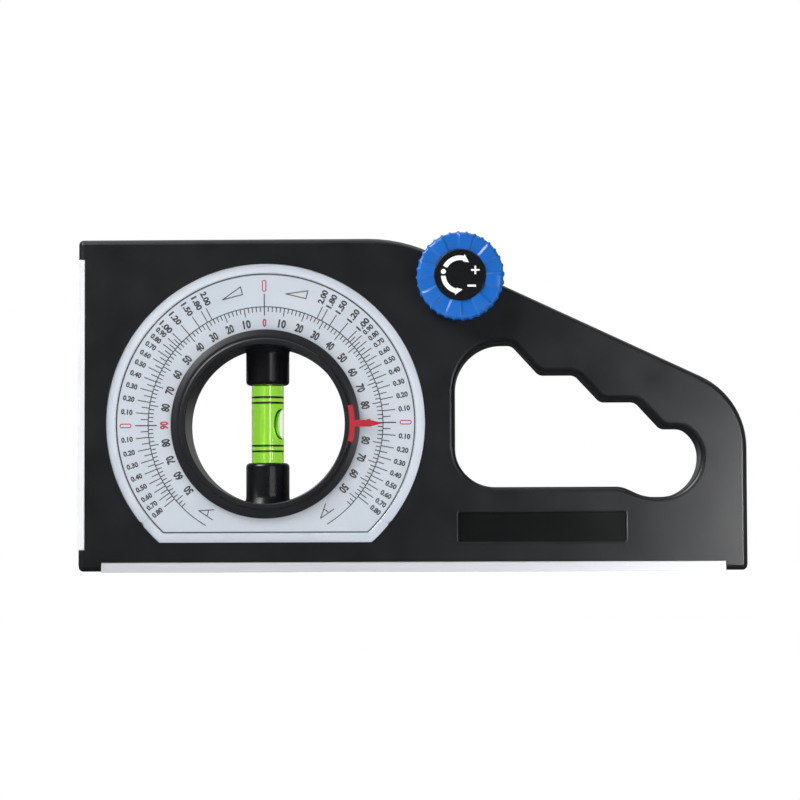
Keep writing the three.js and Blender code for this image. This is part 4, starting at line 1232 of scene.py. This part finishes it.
# The cover's sloping rim is satin, so the light spreads along it in a soft band
satin_rim = clear_plastic("satin_cover_rim", ("#f2f5f8", "#fafcff"), 1.59, 0.36)
# Turned acrylic tube with a breath of the liquid's tint: its walls brighten the green
vial_acrylic = clear_plastic("vial_acrylic", ("#eef9da", "#f2fbe2"), 1.49)
# Dyed spirit: glows yellow-green against the light, with a dark outline round the bubble
green_liquid = clear_plastic("green_vial_liquid", ("#a8e050", "#aee45a"), 1.36, 0.0)

NODE_FINISHES = {
    "ring_gear": gear_nylon, "idler_gear": gear_nylon, "drive_pinion": gear_nylon,
    "friction_washer": nitrile_rubber, "vial_plug_upper": ring_abs, "vial_plug_lower": ring_abs,
}


def finish_nodes():
    """The CAD pieces that stay in view get their finishes."""
    for name, node in frame["nodes"].items():
        finish = NODE_FINISHES.get(name, ferrite if "magnet" in name else zinc_steel)
        node.data.materials.clear()
        node.data.materials.append(finish)


# Camera: the photograph's viewpoint, worked out from the edges of the case
PHOTO_SIDE = 800
FOCAL_PIXELS = 2981.4
SENSOR = 36.0
CAMERA_PLACE = Vector((0.0211, -0.9, 0.005))
CAMERA_YAW = -0.0274
CAMERA_PITCH = 0.0521
CAMERA_ROLL = 0.0033


def add_camera():
    forward = Vector((
        sin(CAMERA_YAW) * cos(CAMERA_PITCH),
        cos(CAMERA_YAW) * cos(CAMERA_PITCH),
        sin(CAMERA_PITCH),
    ))
    right = Vector((cos(CAMERA_YAW), -sin(CAMERA_YAW), 0))
    up = right.cross(forward)
    roll = Matrix.Rotation(CAMERA_ROLL, 3, forward)
    stance = Matrix((roll @ right, roll @ up, -forward)).transposed()
    data = bpy.data.cameras.new("camera")
    data.sensor_width = SENSOR
    data.lens = FOCAL_PIXELS / PHOTO_SIDE * SENSOR
    data.clip_start = 0.01
    camera = bpy.data.objects.new("camera", data)
    camera.matrix_world = Matrix.Translation(CAMERA_PLACE) @ stance.to_4x4()
    bpy.context.scene.collection.objects.link(camera)
    bpy.context.scene.camera = camera


# Light and floor
FLOOR_SIZE = 1.3


def add_light(name, place, target, size, power, spread=180):
    """A softbox; a spread under 180 degrees narrows its beam, as a grid in front of it would."""
    data = bpy.data.lights.new(name, "AREA")
    data.shape = "RECTANGLE"
    data.size, data.size_y = size
    data.energy = power
    data.spread = radians(spread)
    light = bpy.data.objects.new(name, data)
    light.location = place
    light.rotation_euler = (Vector(target) - Vector(place)).to_track_quat("-Z", "Y").to_euler()
    bpy.context.scene.collection.objects.link(light)


def add_world():
    """Dim all round, to keep black black, but white where seen directly or through clear pieces."""
    world = bpy.data.worlds.new("studio")
    bpy.context.scene.world = world
    world.use_nodes = True
    tree = world.node_tree
    direction = add_node(tree, "TexCoord")
    axes = add_node(tree, "SeparateXYZ", links={"Vector": direction.outputs["Generated"]})
    ahead = ramp(tree, axes.outputs["Y"], -0.2, 0.4, 0.05, 0.3)
    above = ramp(tree, axes.outputs["Z"], -0.06, 0.06, 0.1, 1.0)
    fade = add_node(tree, "Math", {}, {0: ahead, 1: above}, operation="MULTIPLY")
    path = add_node(tree, "LightPath")
    rays = {0: path.outputs["Is Camera Ray"], 1: path.outputs["Is Transmission Ray"]}
    seen = add_node(tree, "Math", {}, rays, operation="MAXIMUM")
    strength = add_node(tree, "Mix", {"B": 1.0},
                        {"Factor": seen.outputs["Value"], "A": fade.outputs["Value"]})
    tree.links.new(strength.outputs["Result"], tree.nodes["Background"].inputs["Strength"])
    tree.nodes["Background"].inputs["Color"].default_value = srgb("#ffffff")


def add_floor():
    """A plain pale floor that shiny faces don't mirror, as dark cards would hide it in a studio."""
    take()
    bpy.ops.mesh.primitive_plane_add(size=FLOOR_SIZE, location=(0, 0, 0))
    floor = bpy.context.object
    floor.name = "floor"
    # Painted board: matt and even, a little lifted so that it meets the white background unseen
    material, tree, shader = new_finish("pale_floor", "#f6f6f7", Roughness=0.85, Emission_Strength=0.6)
    tinted(tree, shader, pattern(tree, 40), ("#f6f6f7", "#f9f9fa"))
    floor.data.materials.append(material)
    floor.visible_glossy = False


def add_studio():
    add_light("right_softbox", (0.205, -0.3, 0.02), (0.12, 0, -0.005), (0.08, 0.06), 0.058, 50)
    # A far strip that draws the bright upright line on the vial and its cups
    add_light("vial_strip", (0.683, -1.863, 0.15), (-0.07, 0, 0.045), (0.4, 0.3), 0.016, 14)
    add_light("left_key", (-0.75, -0.7, 0.85), (-0.02, 0, 0.05), (0.7, 0.7), 17)
    add_light("top_light", (0, 0.3, 1.5), (0, 0.2, 0), (1.8, 1.8), 13)
    add_world()
    add_floor()
    bpy.context.scene.view_settings.view_transform = "Standard"


finish_nodes()
add_camera()
add_studio()
front_shell()
rear_shell()
metal_strips()
case_screws()
silver_dial()
dial_cover()
dial_print()
turning_ring()
vial_cup(1, "upper_cup", "vial_cup_upper")
vial_cup(-1, "lower_cup", "vial_cup_lower")
vial()
red_pointer()
knob_grip()
knob_disc()
knob_marks()
